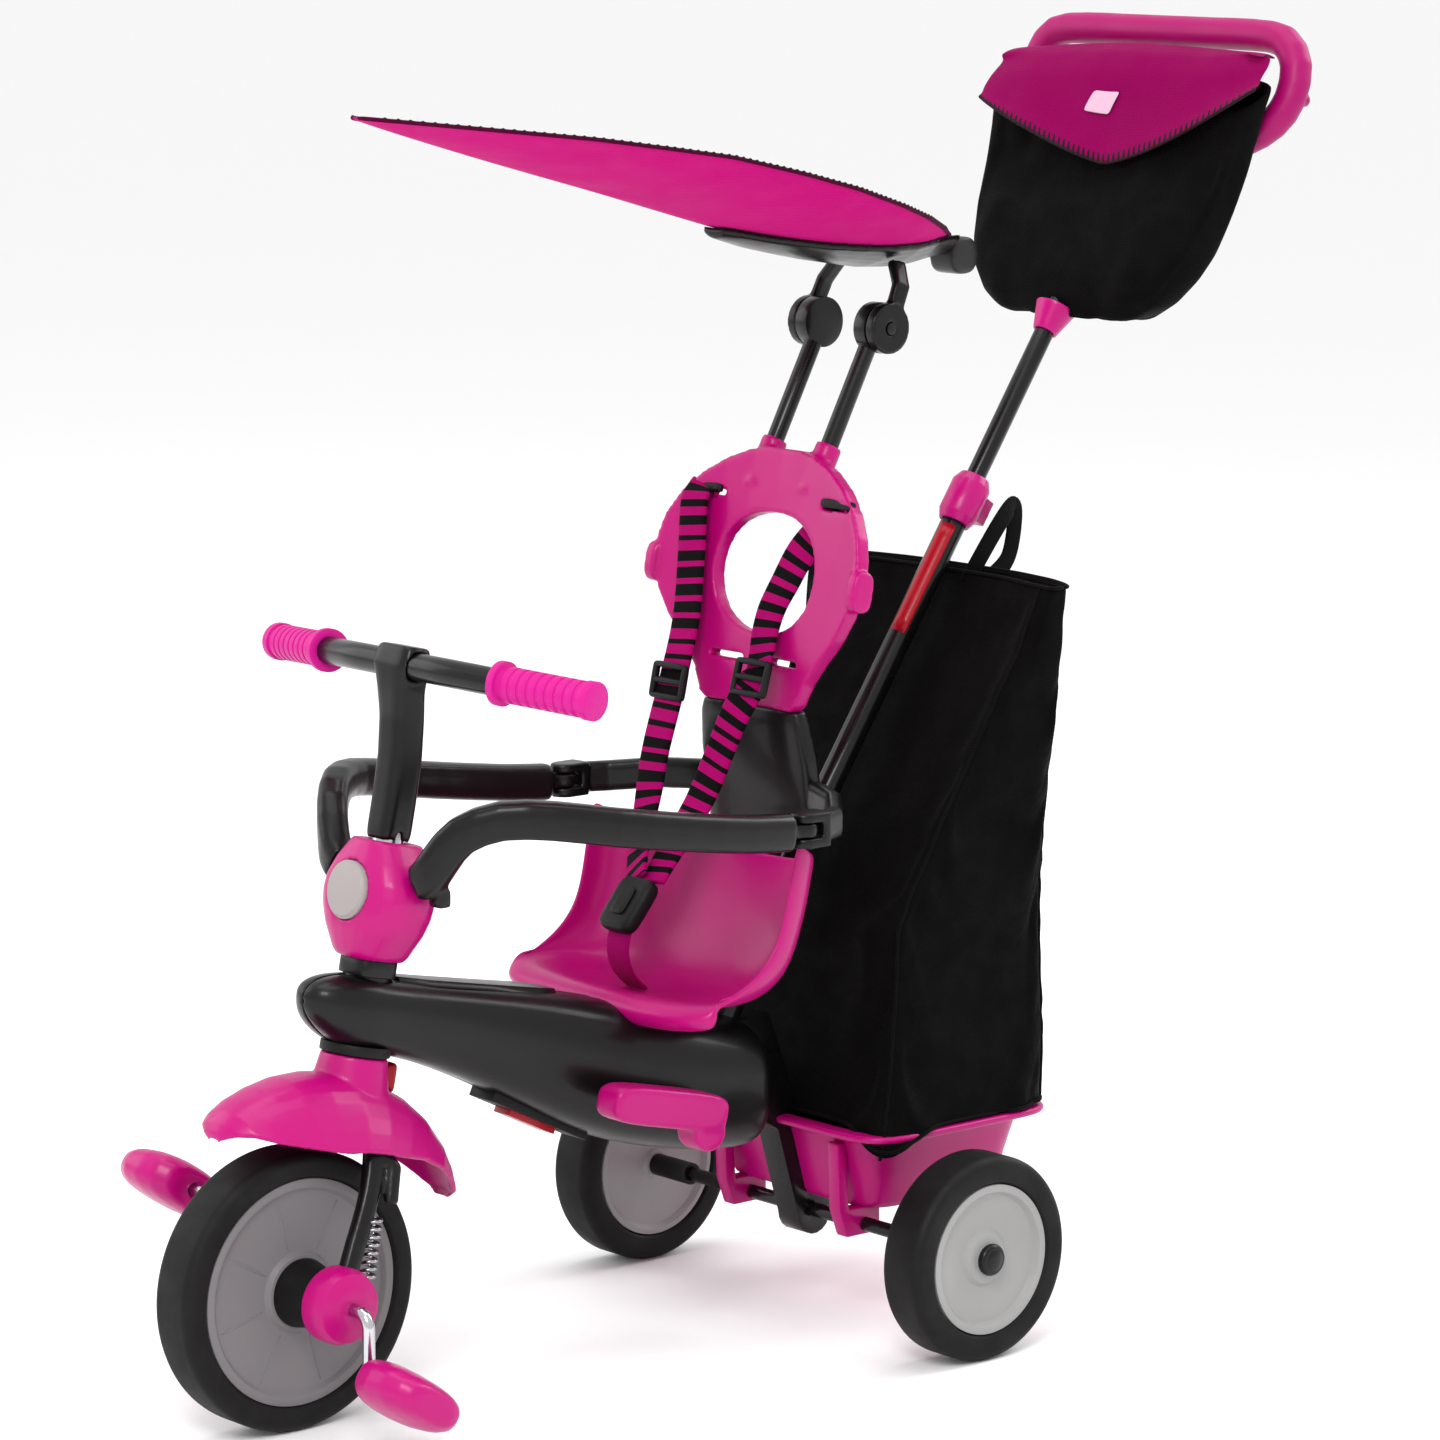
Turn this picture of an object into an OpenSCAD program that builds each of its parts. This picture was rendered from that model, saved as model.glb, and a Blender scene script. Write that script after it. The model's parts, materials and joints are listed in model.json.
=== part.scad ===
/* [Wheels] */
// Distance between the front and rear axles
wheelbase = 543; // [500:1:580]
// Distance between the middles of the two rear wheels
rear_track = 416; // [390:2:440]
// Radius of the front wheel over the tyre
front_r = 111; // [105:1:114]
// Radius of each rear wheel over the tyre
rear_r = 85; // [82:1:88]
// Width of the front tyre
front_tyre_w = 46; // [40:1:48]
// Width of each rear tyre
rear_tyre_w = 43; // [38:1:44]
// Radius of the crank rod
crank_rod_r = 5; // [4.5:0.5:5.5]
// Distance from the front axle to each pedal pin
crank_throw = 54; // [48:1:58]

/* [Steering] */
// Angle that the steering axis leans back
rake = 11.6; // [9:0.2:13]
// Outside radius of the steerer tube
steerer_r = 12.7; // [12:0.1:13]
// Length of the steering axis from the head's lower end to the handlebar
stem_reach = 306; // [296:1:316]
// How far the handlebar stands in front of the steering axis
stem_forward = 13; // [8:1:16]
// Half of the handlebar's width over its grips
bar_half = 199; // [192:1:205]
// Radius of the handlebar tube
bar_r = 11; // [10:0.5:12]

/* [Body] */
// Thickness of the plastic shells
wall = 3; // [2.5:0.5:4]
// Half of the seat's width
seat_half = 129; // [126:1:134]
// Height of the safety hoop above the ground at its rear pins
hoop_z = 446; // [440:1:450]
// Angle that the backrest leans back
recline = 10; // [6:1:14]

/* [Push pole] */
// Angle of the push pole from upright
pole_lean = 33.9; // [32:0.1:35]
// Outside radius of the lower pole
lower_pole_r = 11; // [10.5:0.5:12]
// Outside radius of the upper pole
upper_pole_r = 8.5; // [8:0.5:9]
// Radius of the handle's tube
handle_r = 14; // [13:0.5:15]
// Half of the handle's width at its tube's middle
handle_half = 152; // [145:1:155]

/* [Canopy] */
// Half of the canopy's greatest width
canopy_half = 146; // [130:1:150]
// Thickness of the canopy sheet
canopy_t = 2.5; // [2:0.5:4]

/* [Hidden] */

magenta = "#d5008a";
black = "#2b2825";
grey = "#a4a2a4";
red = "#c8102a";
steel = "#c9ccd0";
cloth = "#16130f";

fit = 0.06;                         // running clearance of a shaft in its bore
gap = 0.4;                          // space between pieces that move past each other
rear_axle_y = 110;
front_axle_y = rear_axle_y - wheelbase;
wheel_x = rear_track / 2;
axle_r = 6;                         // radius of the rear axle rod
head = [0, -364.5, 287.5];          // where the steering axis leaves the head's lower end
steer_dir = [0, sin(rake), cos(rake)];
front_axle = [0, front_axle_y, front_r];
pole_dir = [0, sin(pole_lean), cos(pole_lean)];
pole_foot = [0, 128.5, 431];        // a point on the push pole's axis behind the seat
clamp_at = 289;                     // distance along the pole from pole_foot to the clamp's middle
knuckle = [0, 153.5, 828];          // middle of the canopy's tilt axis
knuckle_x = 42;                     // from the middle to the face between the knuckle's discs
knuckle_r = 21;
rod_dir = [0, sin(28), cos(28)];    // direction of the canopy's rods
hoop_pin = [150, -28, hoop_z];      // left hinge pin of the safety hoop
footrest_pin = [0, -78, 196];       // hinge axis of the footrest
latch_tilt = -26;                   // slope of the body's underside at the latch
latch_at = [0, -196, 219];

// ---------- geometry helpers ----------

function unit(v) = v / norm(v);
function total(v) = v * [for (i = v) 1];
function at(table, y) = lookup(y, table);
function flip_x(points) = [for (p = points) [-p.x, p.y, p.z]];
function backwards(p) = [for (i = [len(p) - 1:-1:0]) p[i]];

// Curve through hand-chosen points, with k steps between each pair
function curve_point(a, b, c, d, t) =
    0.5 * (2*b + (c - a)*t + (2*a - 5*b + 4*c - d)*t*t + (3*b - a - 3*c + d)*t*t*t);
function curve(p, k = 4) = [
    for (i = [0:len(p) - 2]) for (j = [0:k - 1])
        curve_point(p[max(i - 1, 0)], p[i], p[i + 1], p[min(i + 2, len(p) - 1)], j / k),
    p[len(p) - 1]];

// Rounded outline of half sizes a and b: e of 2 is an ellipse, larger is squarer
function power(v, e) = sign(v) * pow(abs(v), 2 / e);
function oval(a, b, e = 3, n = 16) = [
    for (i = [0:n - 1]) let (t = 360 * (i + 0.5) / n) [a * power(cos(t), e), b * power(sin(t), e)]];

// Closed solid from points and triangles, turned the right way out
module solid(p, f) {
    volume = total([for (t = f) cross(p[t[0]], p[t[1]]) * p[t[2]]]);
    polyhedron(p, volume > 0 ? [for (t = f) [t[0], t[2], t[1]]] : f, convexity = 8);
}

// Solid skinned over rings of equal point count
module skin(rings) {
    n = len(rings[0]);
    last = (len(rings) - 1) * n;
    sides = [for (j = [0:len(rings) - 2]) for (i = [0:n - 1])
        let (a = j*n + i, b = j*n + (i + 1) % n) each [[a, b, b + n], [a, b + n, a + n]]];
    caps = [for (i = [1:n - 2]) each [[0, i + 1, i], [last, last + i, last + i + 1]]];
    solid([for (r = rings) each r], concat(sides, caps));
}

// Solid between two grids of points, such as the two faces of a moulded shell
module slab(top, bottom) {
    m = len(top);
    n = len(top[0]);
    k = m * n;
    faces = [for (j = [0:m - 2]) for (i = [0:n - 2]) let (a = j*n + i) each [
        [a, a + 1, a + 1 + n], [a, a + 1 + n, a + n],
        [a + k, a + 1 + n + k, a + 1 + k], [a + k, a + n + k, a + 1 + n + k]]];
    ends = [for (i = [0:n - 2]) let (q = k - n + i) each [
        [i + 1, i, i + k], [i + 1, i + k, i + 1 + k],
        [q, q + 1, q + 1 + k], [q, q + 1 + k, q + k]]];
    edges = [for (j = [0:m - 2]) let (a = j*n, e = j*n + n - 1) each [
        [a, a + n, a + n + k], [a, a + n + k, a + k],
        [e + n, e, e + k], [e + n, e + k, e + n + k]]];
    solid(concat([for (r = top) each r], [for (r = bottom) each r]), concat(faces, ends, edges));
}

// Rings of a section carried along a path, the section's second direction kept near up
function tangent(path, k) = unit(path[min(k + 1, len(path) - 1)] - path[max(k - 1, 0)]);
function swept(path, section, up) = [for (k = [0:len(path) - 1])
    let (t = tangent(path, k), s = unit(cross(t, up)), u = cross(s, t))
        [for (q = section) path[k] + q.x * s + q.y * u]];
module sweep(path, section, up = [0, 0, 1]) { skin(swept(path, section, up)); }

// One boolean of curved skins, kept as a single skin
module merged() { resize([0, 0, 0]) children(); }

module on_x(p = [0, 0, 0]) { translate(p) rotate([0, 90, 0]) children(); }
module on_steering(s = 0) { translate(head) rotate([-rake, 0, 0]) translate([0, 0, s]) children(); }
module on_pole(s = 0) { translate(pole_foot) rotate([-pole_lean, 0, 0]) translate([0, 0, s]) children(); }
module on_latch() { translate(latch_at) rotate([latch_tilt, 0, 0]) children(); }
module both_sides() { children(); mirror([1, 0, 0]) children(); }
module ring(r, bore, h) {
    difference() {
        cylinder(r = r, h = h, $fn = 96);
        translate([0, 0, -1]) cylinder(r = bore, h = h + 2, $fn = 96);
    }
}
module turned(profile) { rotate([0, 90, 0]) rotate_extrude($fn = 120) polygon(profile); }

// ---------- wheels and pedals ----------

// Tyre section: flat tread with round shoulders
function tyre_profile(r, inner, half, round) = concat(
    [[inner, -half + 4], [inner, half - 4], [inner + 3, half]],
    [for (a = [90:-18:0]) [r - round + round * cos(a), half - round + round * sin(a)]],
    [for (a = [0:-18:-90]) [r - round + round * cos(a), -half + round + round * sin(a)]],
    [[inner + 3, -half]]);

// One dished half of a wheel disc, from the wheel's middle plane outwards
function disc_profile(r, half, hub) = [
    [hub, 0], [hub, half], [hub + 16, half], [hub + 19, half - 4], [r - 10, half - 4],
    [r - 7, half], [r, half], [r, 0], [r - 3, 0], [r - 3, half - 8], [hub + 4, half - 8], [hub + 4, 0]];

front_rim_r = front_r - 21;
rear_rim_r = rear_r - 23;
module front_tyre() {
    color(black) translate(front_axle)
        turned(tyre_profile(front_r, front_rim_r, front_tyre_w / 2, 9));
}
module front_rims() {
    color(grey) translate(front_axle) both_sides()
        turned(disc_profile(front_rim_r, 20.5, 14));
}
module front_hub() {
    color(black) translate(front_axle) difference() {
        turned([[0, -54], [21, -54], [27.5, -20.5], [14, -20.5], [14, 20.5], [27.5, 20.5], [21, 54], [0, 54]]);
        on_x([-60, 0, 0]) cylinder(r = crank_rod_r, h = 120, $fn = 48);
    }
}
crank_bend = 12;                    // bend radius of the crank rod
crank_x = 93;                       // where the rod starts to bend outside the hub covers
pedal_x = crank_x + 2 * crank_bend + 2;
pedal_w = 70;
module crank_side() {
    arm = crank_throw - 2 * crank_bend;
    on_x() cylinder(r = crank_rod_r, h = crank_x, $fn = 48);
    translate([crank_x, 0, -crank_bend]) rotate([90, 0, 0])
        rotate_extrude(angle = 90, $fn = 96) translate([crank_bend, 0]) circle(r = crank_rod_r, $fn = 48);
    translate([crank_x + crank_bend, 0, -crank_bend - arm]) cylinder(r = crank_rod_r, h = arm, $fn = 48);
    translate([crank_x + 2 * crank_bend, 0, -crank_bend - arm]) rotate([90, 180, 0])
        rotate_extrude(angle = 90, $fn = 96) translate([crank_bend, 0]) circle(r = crank_rod_r, $fn = 48);
    on_x([crank_x + 2 * crank_bend, 0, -crank_throw]) cylinder(r = crank_rod_r, h = pedal_w - 6, $fn = 48);
}
module crank_axle() {
    color(steel) translate(front_axle) {
        crank_side();
        rotate([180, 0, 0]) mirror([1, 0, 0]) crank_side();
    }
}
module pedal() {
    // x along the pin, half depth, half thickness
    rows = [[0, 22, 12], [2.5, 28, 16], [12, 37, 19], [28, 41, 19.5], [46, 40, 18], [59, 34, 15.5],
        [pedal_w - 2, 26, 12], [pedal_w, 19, 8]];
    difference() {
        rotate([-34, 0, 0]) skin([for (q = rows) [for (v = oval(q[1], q[2], 2.7, 24)) [q[0], v.x, v.y]]]);
        on_x([-1, 0, 0]) cylinder(r = crank_rod_r + fit, h = pedal_w - 3, $fn = 48);
    }
}
module pedal_left() {
    color(magenta) translate(front_axle + [pedal_x, 0, -crank_throw]) pedal();
}
module pedal_right() {
    color(magenta) translate(front_axle + [-pedal_x, 0, crank_throw]) mirror([1, 0, 0]) pedal();
}

module rear_tyre(x) {
    color(black) translate([x, rear_axle_y, rear_r])
        turned(tyre_profile(rear_r, rear_rim_r, rear_tyre_w / 2, 8));
}
module rear_tyre_left() { rear_tyre(wheel_x); }
module rear_tyre_right() { rear_tyre(-wheel_x); }
module rear_rim() {
    turned([[axle_r + fit, -20], [axle_r + fit, 16], [20, 16], [24, 12], [rear_rim_r - 9, 15],
        [rear_rim_r - 6, 20], [rear_rim_r, 20], [rear_rim_r, -20], [rear_rim_r - 4, -20],
        [rear_rim_r - 8, -16], [14, -16], [12, -20]]);
    turned([[0, 24.5], [9, 24.5], [12, 21.5], [12, 16], [8, 16], [8, 22], [0, 22]]);
}
module rear_rim_left() { color(grey) translate([wheel_x, rear_axle_y, rear_r]) rear_rim(); }
module rear_rim_right() {
    color(grey) translate([-wheel_x, rear_axle_y, rear_r]) mirror([1, 0, 0]) rear_rim();
}
module rear_axle() {
    half = wheel_x + 20;
    color(black) on_x([-half, rear_axle_y, rear_r]) cylinder(r = axle_r, h = 2 * half, $fn = 48);
}
module axle_sleeves() {
    color(black) both_sides() on_x([wheel_x - 20.5 - 46, rear_axle_y, rear_r]) ring(9.5, axle_r, 46);
}

// ---------- fork, fender and handlebar ----------

leg_path = [[13, -369, 268], [24, -371, 250], [37, -376, 228], [46, -383, 203], [53, -395, 178], [60, -410, 155],
    [64, -422, 132]];
spring_at = [[51, -366, 206], [58, -375, 179], [66, -400, 134]];    // sleeve top, spring top, spring foot
module fork() {
    legs = curve(leg_path, 2);
    color(black) difference() {
        union() {
            on_steering(-32) cylinder(r = 16.5, h = 31.2, $fn = 64);
            both_sides() {
                sweep(legs, oval(7, 8.5, 3, 12), [0, 1, 0.2]);
                sweep([spring_at[0] + [-8, -6, 12], spring_at[0], spring_at[1]], oval(6, 6.5, 2.5, 10), [0, 1, 0.2]);
                on_x(front_axle + [57, 0, 0]) cylinder(r = 21, h = 11, $fn = 64);
            }
        }
        on_steering(-60) cylinder(r = steerer_r, h = 70, $fn = 64);
        on_x(front_axle + [-80, 0, 0]) cylinder(r = crank_rod_r + fit, h = 160, $fn = 48);
    }
}
module hub_covers() {
    color(magenta) both_sides() translate(front_axle) difference() {
        union() {
            turned([[0, 57], [28, 57], [30, 60], [30, 74], [27, 82], [14, 86], [0, 86]]);
        }
        on_x([56, 0, 0]) cylinder(r = 21, h = 12, $fn = 64);
        on_x([50, 0, 0]) cylinder(r = crank_rod_r + fit, h = 40, $fn = 48);
        translate(-front_axle) sweep(curve(leg_path, 2), oval(7.05, 8.55, 3, 12), [0, 1, 0.2]);
    }
}
// Coil spring behind each fork leg, as one wire wound by a loop
module fork_springs() {
    turns = 6;
    steps = 9;
    from = spring_at[2];
    to = spring_at[1];
    axis = unit(to - from);
    side = unit(cross(axis, [0, 1, 0]));
    lift = cross(axis, side);
    coil = [for (i = [0:turns * steps]) let (t = i / steps * 360)
        from + (to - from) * i / turns / steps + 5 * (cos(t) * side + sin(t) * lift)];
    color(steel) both_sides() sweep(coil, oval(1.3, 1.3, 2, 5), axis);
}
// Arch over the front tyre, by angle round the front axle
fender_r = [[17, 164], [19, 169], [30, 173], [45, 175], [67, 173], [90, 168], [106, 163], [112, 160], [116, 155], [118, 147]];
fender_half = [[17, 9], [19, 18], [24, 28], [34, 42], [55, 58], [75, 62], [95, 56], [106, 45], [112, 33], [116, 20], [118, 9]];
fender_drop = [[17, 1], [22, 8], [34, 24], [50, 44], [66, 52], [82, 52], [95, 44], [106, 28], [112, 14], [116, 5], [118, 1]];
function fender_grid(inset) =
    [for (a = [17, 19, 22, 27, 34, 43, 52, 62, 72, 82, 91, 99, 106, 111, 114.5, 117, 118]) [for (s = [-1:0.125:1])
        let (r = at(fender_r, a) - inset - at(fender_drop, a) * pow(abs(s), 2.4),
             x = (at(fender_half, a) - inset) * s)
        front_axle + [x, r * cos(a), r * sin(a)]]];
module front_fender() {
    color(magenta) merged() difference() {
        union() {
            slab(fender_grid(0), fender_grid(wall));
            on_steering(-44) cylinder(r1 = 34, r2 = 26.5, h = 43.2, $fn = 40);
        }
        on_steering(-50) cylinder(r = 17, h = 60, $fn = 40);
        on_steering(-27) translate([-8.4, 12, 0]) cube([16.8, 30, 20.8]);
        both_sides() sweep(curve(leg_path, 1), oval(8, 9.5, 3, 12), [0, 1, 0.2]);
    }
}
module steering_button() {
    color(red) on_steering(-26.6) translate([-8, 21, 0]) cube([16, 12.5, 20]);
}
module steerer_tube() {
    color(steel) on_steering(-30) ring(steerer_r, steerer_r - 2, 262);
}
module stem() {
    sections = [[168.4, 13.5, 14.5, 0], [176, 14.5, 15, 0], [200, 14.5, 15, 0], [235, 14.5, 15, -1], [265, 15, 15, -5],
        [286, 17, 15, -10], [297, 20, 15, -12], [306, 25, 15, -stem_forward], [321, 21, 12.5, -stem_forward]];
    color(black) merged() difference() {
        on_steering() skin([for (q = sections) [for (v = oval(q[1], q[2], 4.5, 20)) [v.x, v.y + q[3], q[0]]]]);
        on_steering(160) cylinder(r = steerer_r, h = 74, $fn = 64);
        on_steering(stem_reach) on_x([-40, -stem_forward, 0]) cylinder(r = bar_r, h = 80, $fn = 64);
    }
}
// The bar runs straight through the stem, then sweeps back to the grips
bar_mid = head + stem_reach * steer_dir - stem_forward * [0, cos(rake), -sin(rake)];
bar_bend = 55;
bar_end = [bar_half, -286, 582];
bar_joint = bar_mid + [bar_bend, 0, 0];
bar_dir = unit(bar_end - bar_joint);
module on_bar() {
    translate(bar_joint) rotate([0, 0, atan2(bar_dir.y, bar_dir.x)])
        rotate([0, acos(bar_dir.z), 0]) children();
}
bar_arm = norm(bar_end - bar_joint);
grip_len = 94;
module handlebar() {
    side = [bar_mid + [bar_bend - 14, 0, 0], bar_joint, bar_joint + 14 * bar_dir, bar_joint + (bar_arm - 4) * bar_dir];
    color(black) sweep(concat(backwards(flip_x(side)), side), oval(bar_r, bar_r, 2, 32));
}
module grips() {
    color(magenta) both_sides() on_bar() translate([0, 0, bar_arm - grip_len]) difference() {
        union() {
            cylinder(r = 17.5, h = 6, $fn = 64);
            cylinder(r = 13.6, h = grip_len, $fn = 64);
            for (z = [12:9:80]) translate([0, 0, z]) cylinder(r = 14.3, h = 6, $fn = 64);
            translate([0, 0, grip_len - 8]) cylinder(r = 15.2, h = 8, $fn = 64);
        }
        translate([0, 0, -1]) cylinder(r = bar_r, h = grip_len - 3, $fn = 64);
    }
}

// ---------- head, column and steering hub ----------

head_top = 62;                      // along the steering axis
hub_low = 75;
hub_high = 168;
module head_tube() { color(black) on_steering(8) ring(19, 16, head_top - 8); }
module head_bushes() {
    color(black) {
        on_steering() difference() {
            union() {
                cylinder(r = 28, h = 8, $fn = 64);
                translate([0, 0, 8]) cylinder(r = 16, h = 16, $fn = 64);
            }
            translate([0, 0, -1]) cylinder(r = steerer_r + fit, h = 30, $fn = 64);
        }
        on_steering(hub_high - 18) ring(16, steerer_r + fit, 16);
    }
}
module column() {
    color(black) on_steering(head_top) difference() {
        linear_extrude(hub_low - head_top) polygon(oval(19, 19, 4, 32));
        translate([0, 0, -1]) cylinder(r = steerer_r + 1, h = 20, $fn = 64);
    }
}
hub_sections = [[hub_low, 24, 24], [79, 28, 27], [98, 41, 32], [112, 47, 34], [124, 49, 34.5], [136, 47, 34],
    [152, 38, 31], [164, 28, 27], [hub_high, 25, 25]];
function half_oval(a, b, side) = [for (i = [0:12]) let (t = 180 * i / 12)
    [a * power(cos(t), 2.6), side * (0.1 + b * power(sin(t), 2.6))]];
module hub_half(side) {
    on_steering() skin([for (q = hub_sections)
        [for (v = half_oval(q[1], q[2], side)) [v.x, v.y, q[0]]]]);
}
module steering_hub() {
    color(magenta) for (side = [1, -1]) difference() {
        hub_half(side);
        on_steering(hub_low - 1) cylinder(r = steerer_r + 1, h = 76, $fn = 64);
        on_steering(hub_high - 18) cylinder(r = 16, h = 30, $fn = 64);
        on_steering(127) translate([0, -22, 0]) rotate([90, 0, 0]) cylinder(r = 23, h = 20, $fn = 64);
    }
}
module hub_badge() {
    color("#b9b7b9") on_steering(127) translate([0, -22, 0]) rotate([90, 0, 0]) {
        cylinder(r = 23, h = 12, $fn = 64);
        translate([0, 0, 12]) cylinder(r1 = 22, r2 = 20.5, h = 2, $fn = 64);
    }
}

// ---------- body ----------

// Each row: y, half width, top and bottom
body_rows = [[-412, 1, 338, 334], [-409, 12, 346, 324], [-400, 21, 350, 312], [-385, 26, 351, 300],
    [-365, 29, 349, 293], [-345, 29, 344, 287], [-310, 29, 336, 276], [-260, 32, 326, 254],
    [-200, 42, 315, 222], [-150, 54, 304, 195], [-100, 62, 290, 176], [-40, 66, 276, 163],
    [5, 65, 266, 158], [16, 62, 263, 160], [19, 50, 258, 166], [19.5, 1, 214, 210]];
body_half = [for (q = body_rows) [q[0], q[1]]];
body_top = [for (q = body_rows) [q[0], q[2]]];
body_low = [for (q = body_rows) [q[0], q[3]]];
function shell_ring(y, inset, side) =
    let (yi = min(max(y, -412 + 1.2 * inset), 19.5 - inset), half = max(at(body_half, yi) - inset, 0.3),
         top = at(body_top, yi) - inset, low = at(body_low, yi) + inset, mid = (top + low) / 2,
         tall = max((top - low) / 2, 0.3))
    [for (i = [0:12]) let (t = 90 - 15 * i)
        [side * (0.1 + half * power(cos(t), 2.8)), yi, mid + tall * power(sin(t), 2.8)]];
function shell_grid(inset, side) = [for (q = body_rows) shell_ring(q[0], inset, side)];
module body_shell(side) {
    merged() difference() {
        slab(shell_grid(0, side), shell_grid(wall, side));
        on_steering(-20) cylinder(r = 19, h = 120, $fn = 48);
        on_steering(-20) cylinder(r = 28, h = 28, $fn = 48);
        on_steering(head_top) cylinder(r = 24, h = 30, $fn = 48);
        on_pole(-250) cylinder(r = 16, h = 260, $fn = 32);
        on_x(footrest_pin - [80, 0, 0]) cylinder(r = 5 + fit, h = 160, $fn = 48);
    }
}
module body_shell_left() { color(black) body_shell(1); }
module body_shell_right() { color(black) body_shell(-1); }
// Raised strip along the top of the body, in front of the seat
module top_cover() {
    rows = [[-330, 15], [-300, 18], [-240, 19], [-190, 20], [-170, 14]];
    color(black) skin([for (q = rows) let (z = at(body_top, q[0]))
        [[-q[1], q[0], z + 0.3], [-q[1] + 4, q[0], z + 5], [q[1] - 4, q[0], z + 5], [q[1], q[0], z + 0.3]]]);
}
module main_tube() {
    from = [0, -343, 312];
    to = [0, -20, 222];
    color(black) translate(from) rotate([atan2(from.y - to.y, to.z - from.z), 0, 0])
        cylinder(r = 14, h = norm(to - from), $fn = 48);
}

// ---------- seat, backrest and harness ----------

// The scoop runs from the front lip to the top of the back. Each row: y and z on the middle line,
// then x, y and z of the rim
seat_rows = [[-112, 283, 98, -90, 288], [-121, 287, 117, -97, 290], [-123, 294, 127, -100, 294],
    [-118, 300, 127, -98, 302], [-106, 301, 127, -90, 307], [-88, 295, 128, -80, 312], [-62, 289, 128, -64, 320],
    [-34, 287, 129, -48, 331], [-12, 291, 129, -37, 345], [4, 302, 130, -30, 360], [17, 322, 130, -26, 378],
    [27, 350, 131, -22, 398], [34, 380, 131, -18, 416], [38, 402, 131, -14, 430]];
function seat_point(q, s) =
    let (a = power(sin(90 * abs(s)), 2.7), lift = 1 - power(cos(90 * abs(s)), 2.4))
    [sign(s) * q[2] * seat_half / 131 * a, q[0] + (q[3] - q[0]) * lift, q[1] + (q[4] - q[1]) * lift];
seat_steps = [-1:0.1:1];
function seat_top() = [for (q = seat_rows) [for (s = seat_steps) seat_point(q, s)]];
// The underside follows the upper face along its normals
function seat_under(g, t) = [for (k = [0:len(g) - 1]) [for (i = [0:len(g[0]) - 1])
    let (u = g[min(k + 1, len(g) - 1)][i] - g[max(k - 1, 0)][i],
         v = g[k][min(i + 1, len(g[0]) - 1)] - g[k][max(i - 1, 0)])
    g[k][i] + t * unit(cross(u, v))]];
module seat() { color(magenta) slab(seat_top(), seat_under(seat_top(), wall + 0.5)); }

back_foot = [0, 53, 525];           // middle of the backrest's lower end
module on_back() { translate(back_foot) rotate([-recline, 0, 0]) children(); }
// Outline of the backrest by height above its lower end
back_half = [[-6, 52], [0, 60], [18, 68], [40, 86], [58, 103], [78, 116], [100, 123.5], [122, 124],
    [142, 118], [162, 105], [180, 86], [194, 63], [203, 40], [207, 20]];
module back_outline() {
    heights = [for (q = back_half) q[0]];
    polygon(concat([for (h = heights) [at(back_half, h), h]],
        [for (i = [len(heights) - 1:-1:0]) [-at(back_half, heights[i]), heights[i]]]));
}
back_bend = 480;                    // radius of the backrest's curve from side to side
module backrest() {
    color(magenta) merged() {
        on_back() difference() {
            intersection() {
                translate([0, 40, 0]) rotate([90, 0, 0]) linear_extrude(100) back_outline();
                translate([0, -back_bend, -20]) ring(back_bend + 7, back_bend - 7, 250);
            }
            translate([0, 30, 104]) rotate([90, 0, 0]) linear_extrude(80) polygon(oval(60, 50, 2.2, 32));
            for (x = [-79, 79]) translate([x - 20, -40, 162]) cube([40, 60, 5]);
            for (x = [-34, 34]) translate([x - 19, -30, 30]) cube([38, 60, 5]);
        }
        for (x = [-33, 33]) difference() {
            rod_sleeve(x);
            rod_bore(x);
        }
        both_sides() on_back() translate([118, -17, 100]) rotate([90, 0, 90]) linear_extrude(12)
            polygon(oval(11, 17, 3, 20));
    }
}
rod_r = 7.5;
rod_low = knuckle - 145 * rod_dir;
module on_rod(x, p) { translate([x, p.y, p.z]) rotate([-28, 0, 0]) children(); }
module rod_sleeve(x) { on_rod(x, rod_low - 6 * rod_dir) cylinder(r = 11, h = 44, $fn = 40); }
module rod_bore(x) { on_rod(x, rod_low) cylinder(r = rod_r, h = 60, $fn = 48); }
module backrest_lower() {
    rows = [[404, 62, 66, 11], [440, 66, 64, 11], [480, 66, 58, 11], [510, 62, 53, 10], [521, 58, 52, 9]];
    color(black) skin([for (q = rows) [for (v = oval(q[1], q[3], 5, 20)) [v.x, q[2] + v.y, q[0]]]]);
}

// The two shoulder straps hang differently, as they do when nobody is strapped in
strap = oval(17, 2.6, 4, 12);
strap_far = [[-82, 72, 692], [-82, 58, 684], [-77, 50, 640], [-70, 38, 585], [-66, 20, 535], [-66, 2, 480],
    [-62, -10, 440], [-47, -30, 400], [-30, -48, 368]];
strap_near = [[80, 72, 692], [78, 57, 682], [58, 48, 640], [38, 40, 592], [26, 30, 548], [6, 14, 495],
    [-8, 2, 448], [-12, -22, 405], [-8, -46, 372]];
module harness_straps() {
    waist = [[56, 10, 348], [50, -14, 340], [40, -38, 340], [30, -54, 346]];
    color("#b0127a") merged() {
        for (path = [strap_far, strap_near]) sweep(curve(path, 2), strap, [0, 1, 0]);
        for (side = [1, -1])
            sweep([for (p = curve(waist, 2)) [side * p.x - 18, p.y, p.z]], oval(1.6, 9, 4, 10), [0, 0, 1]);
    }
}
module block(a, b, c) {
    skin([for (z = [-c, -c * 0.7, c * 0.7, c]) let (k = abs(z) == c ? 2.5 : 0)
        [for (v = oval(a - k, b - k, 4, 20)) [v.x, v.y, z]]]);
}
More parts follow.
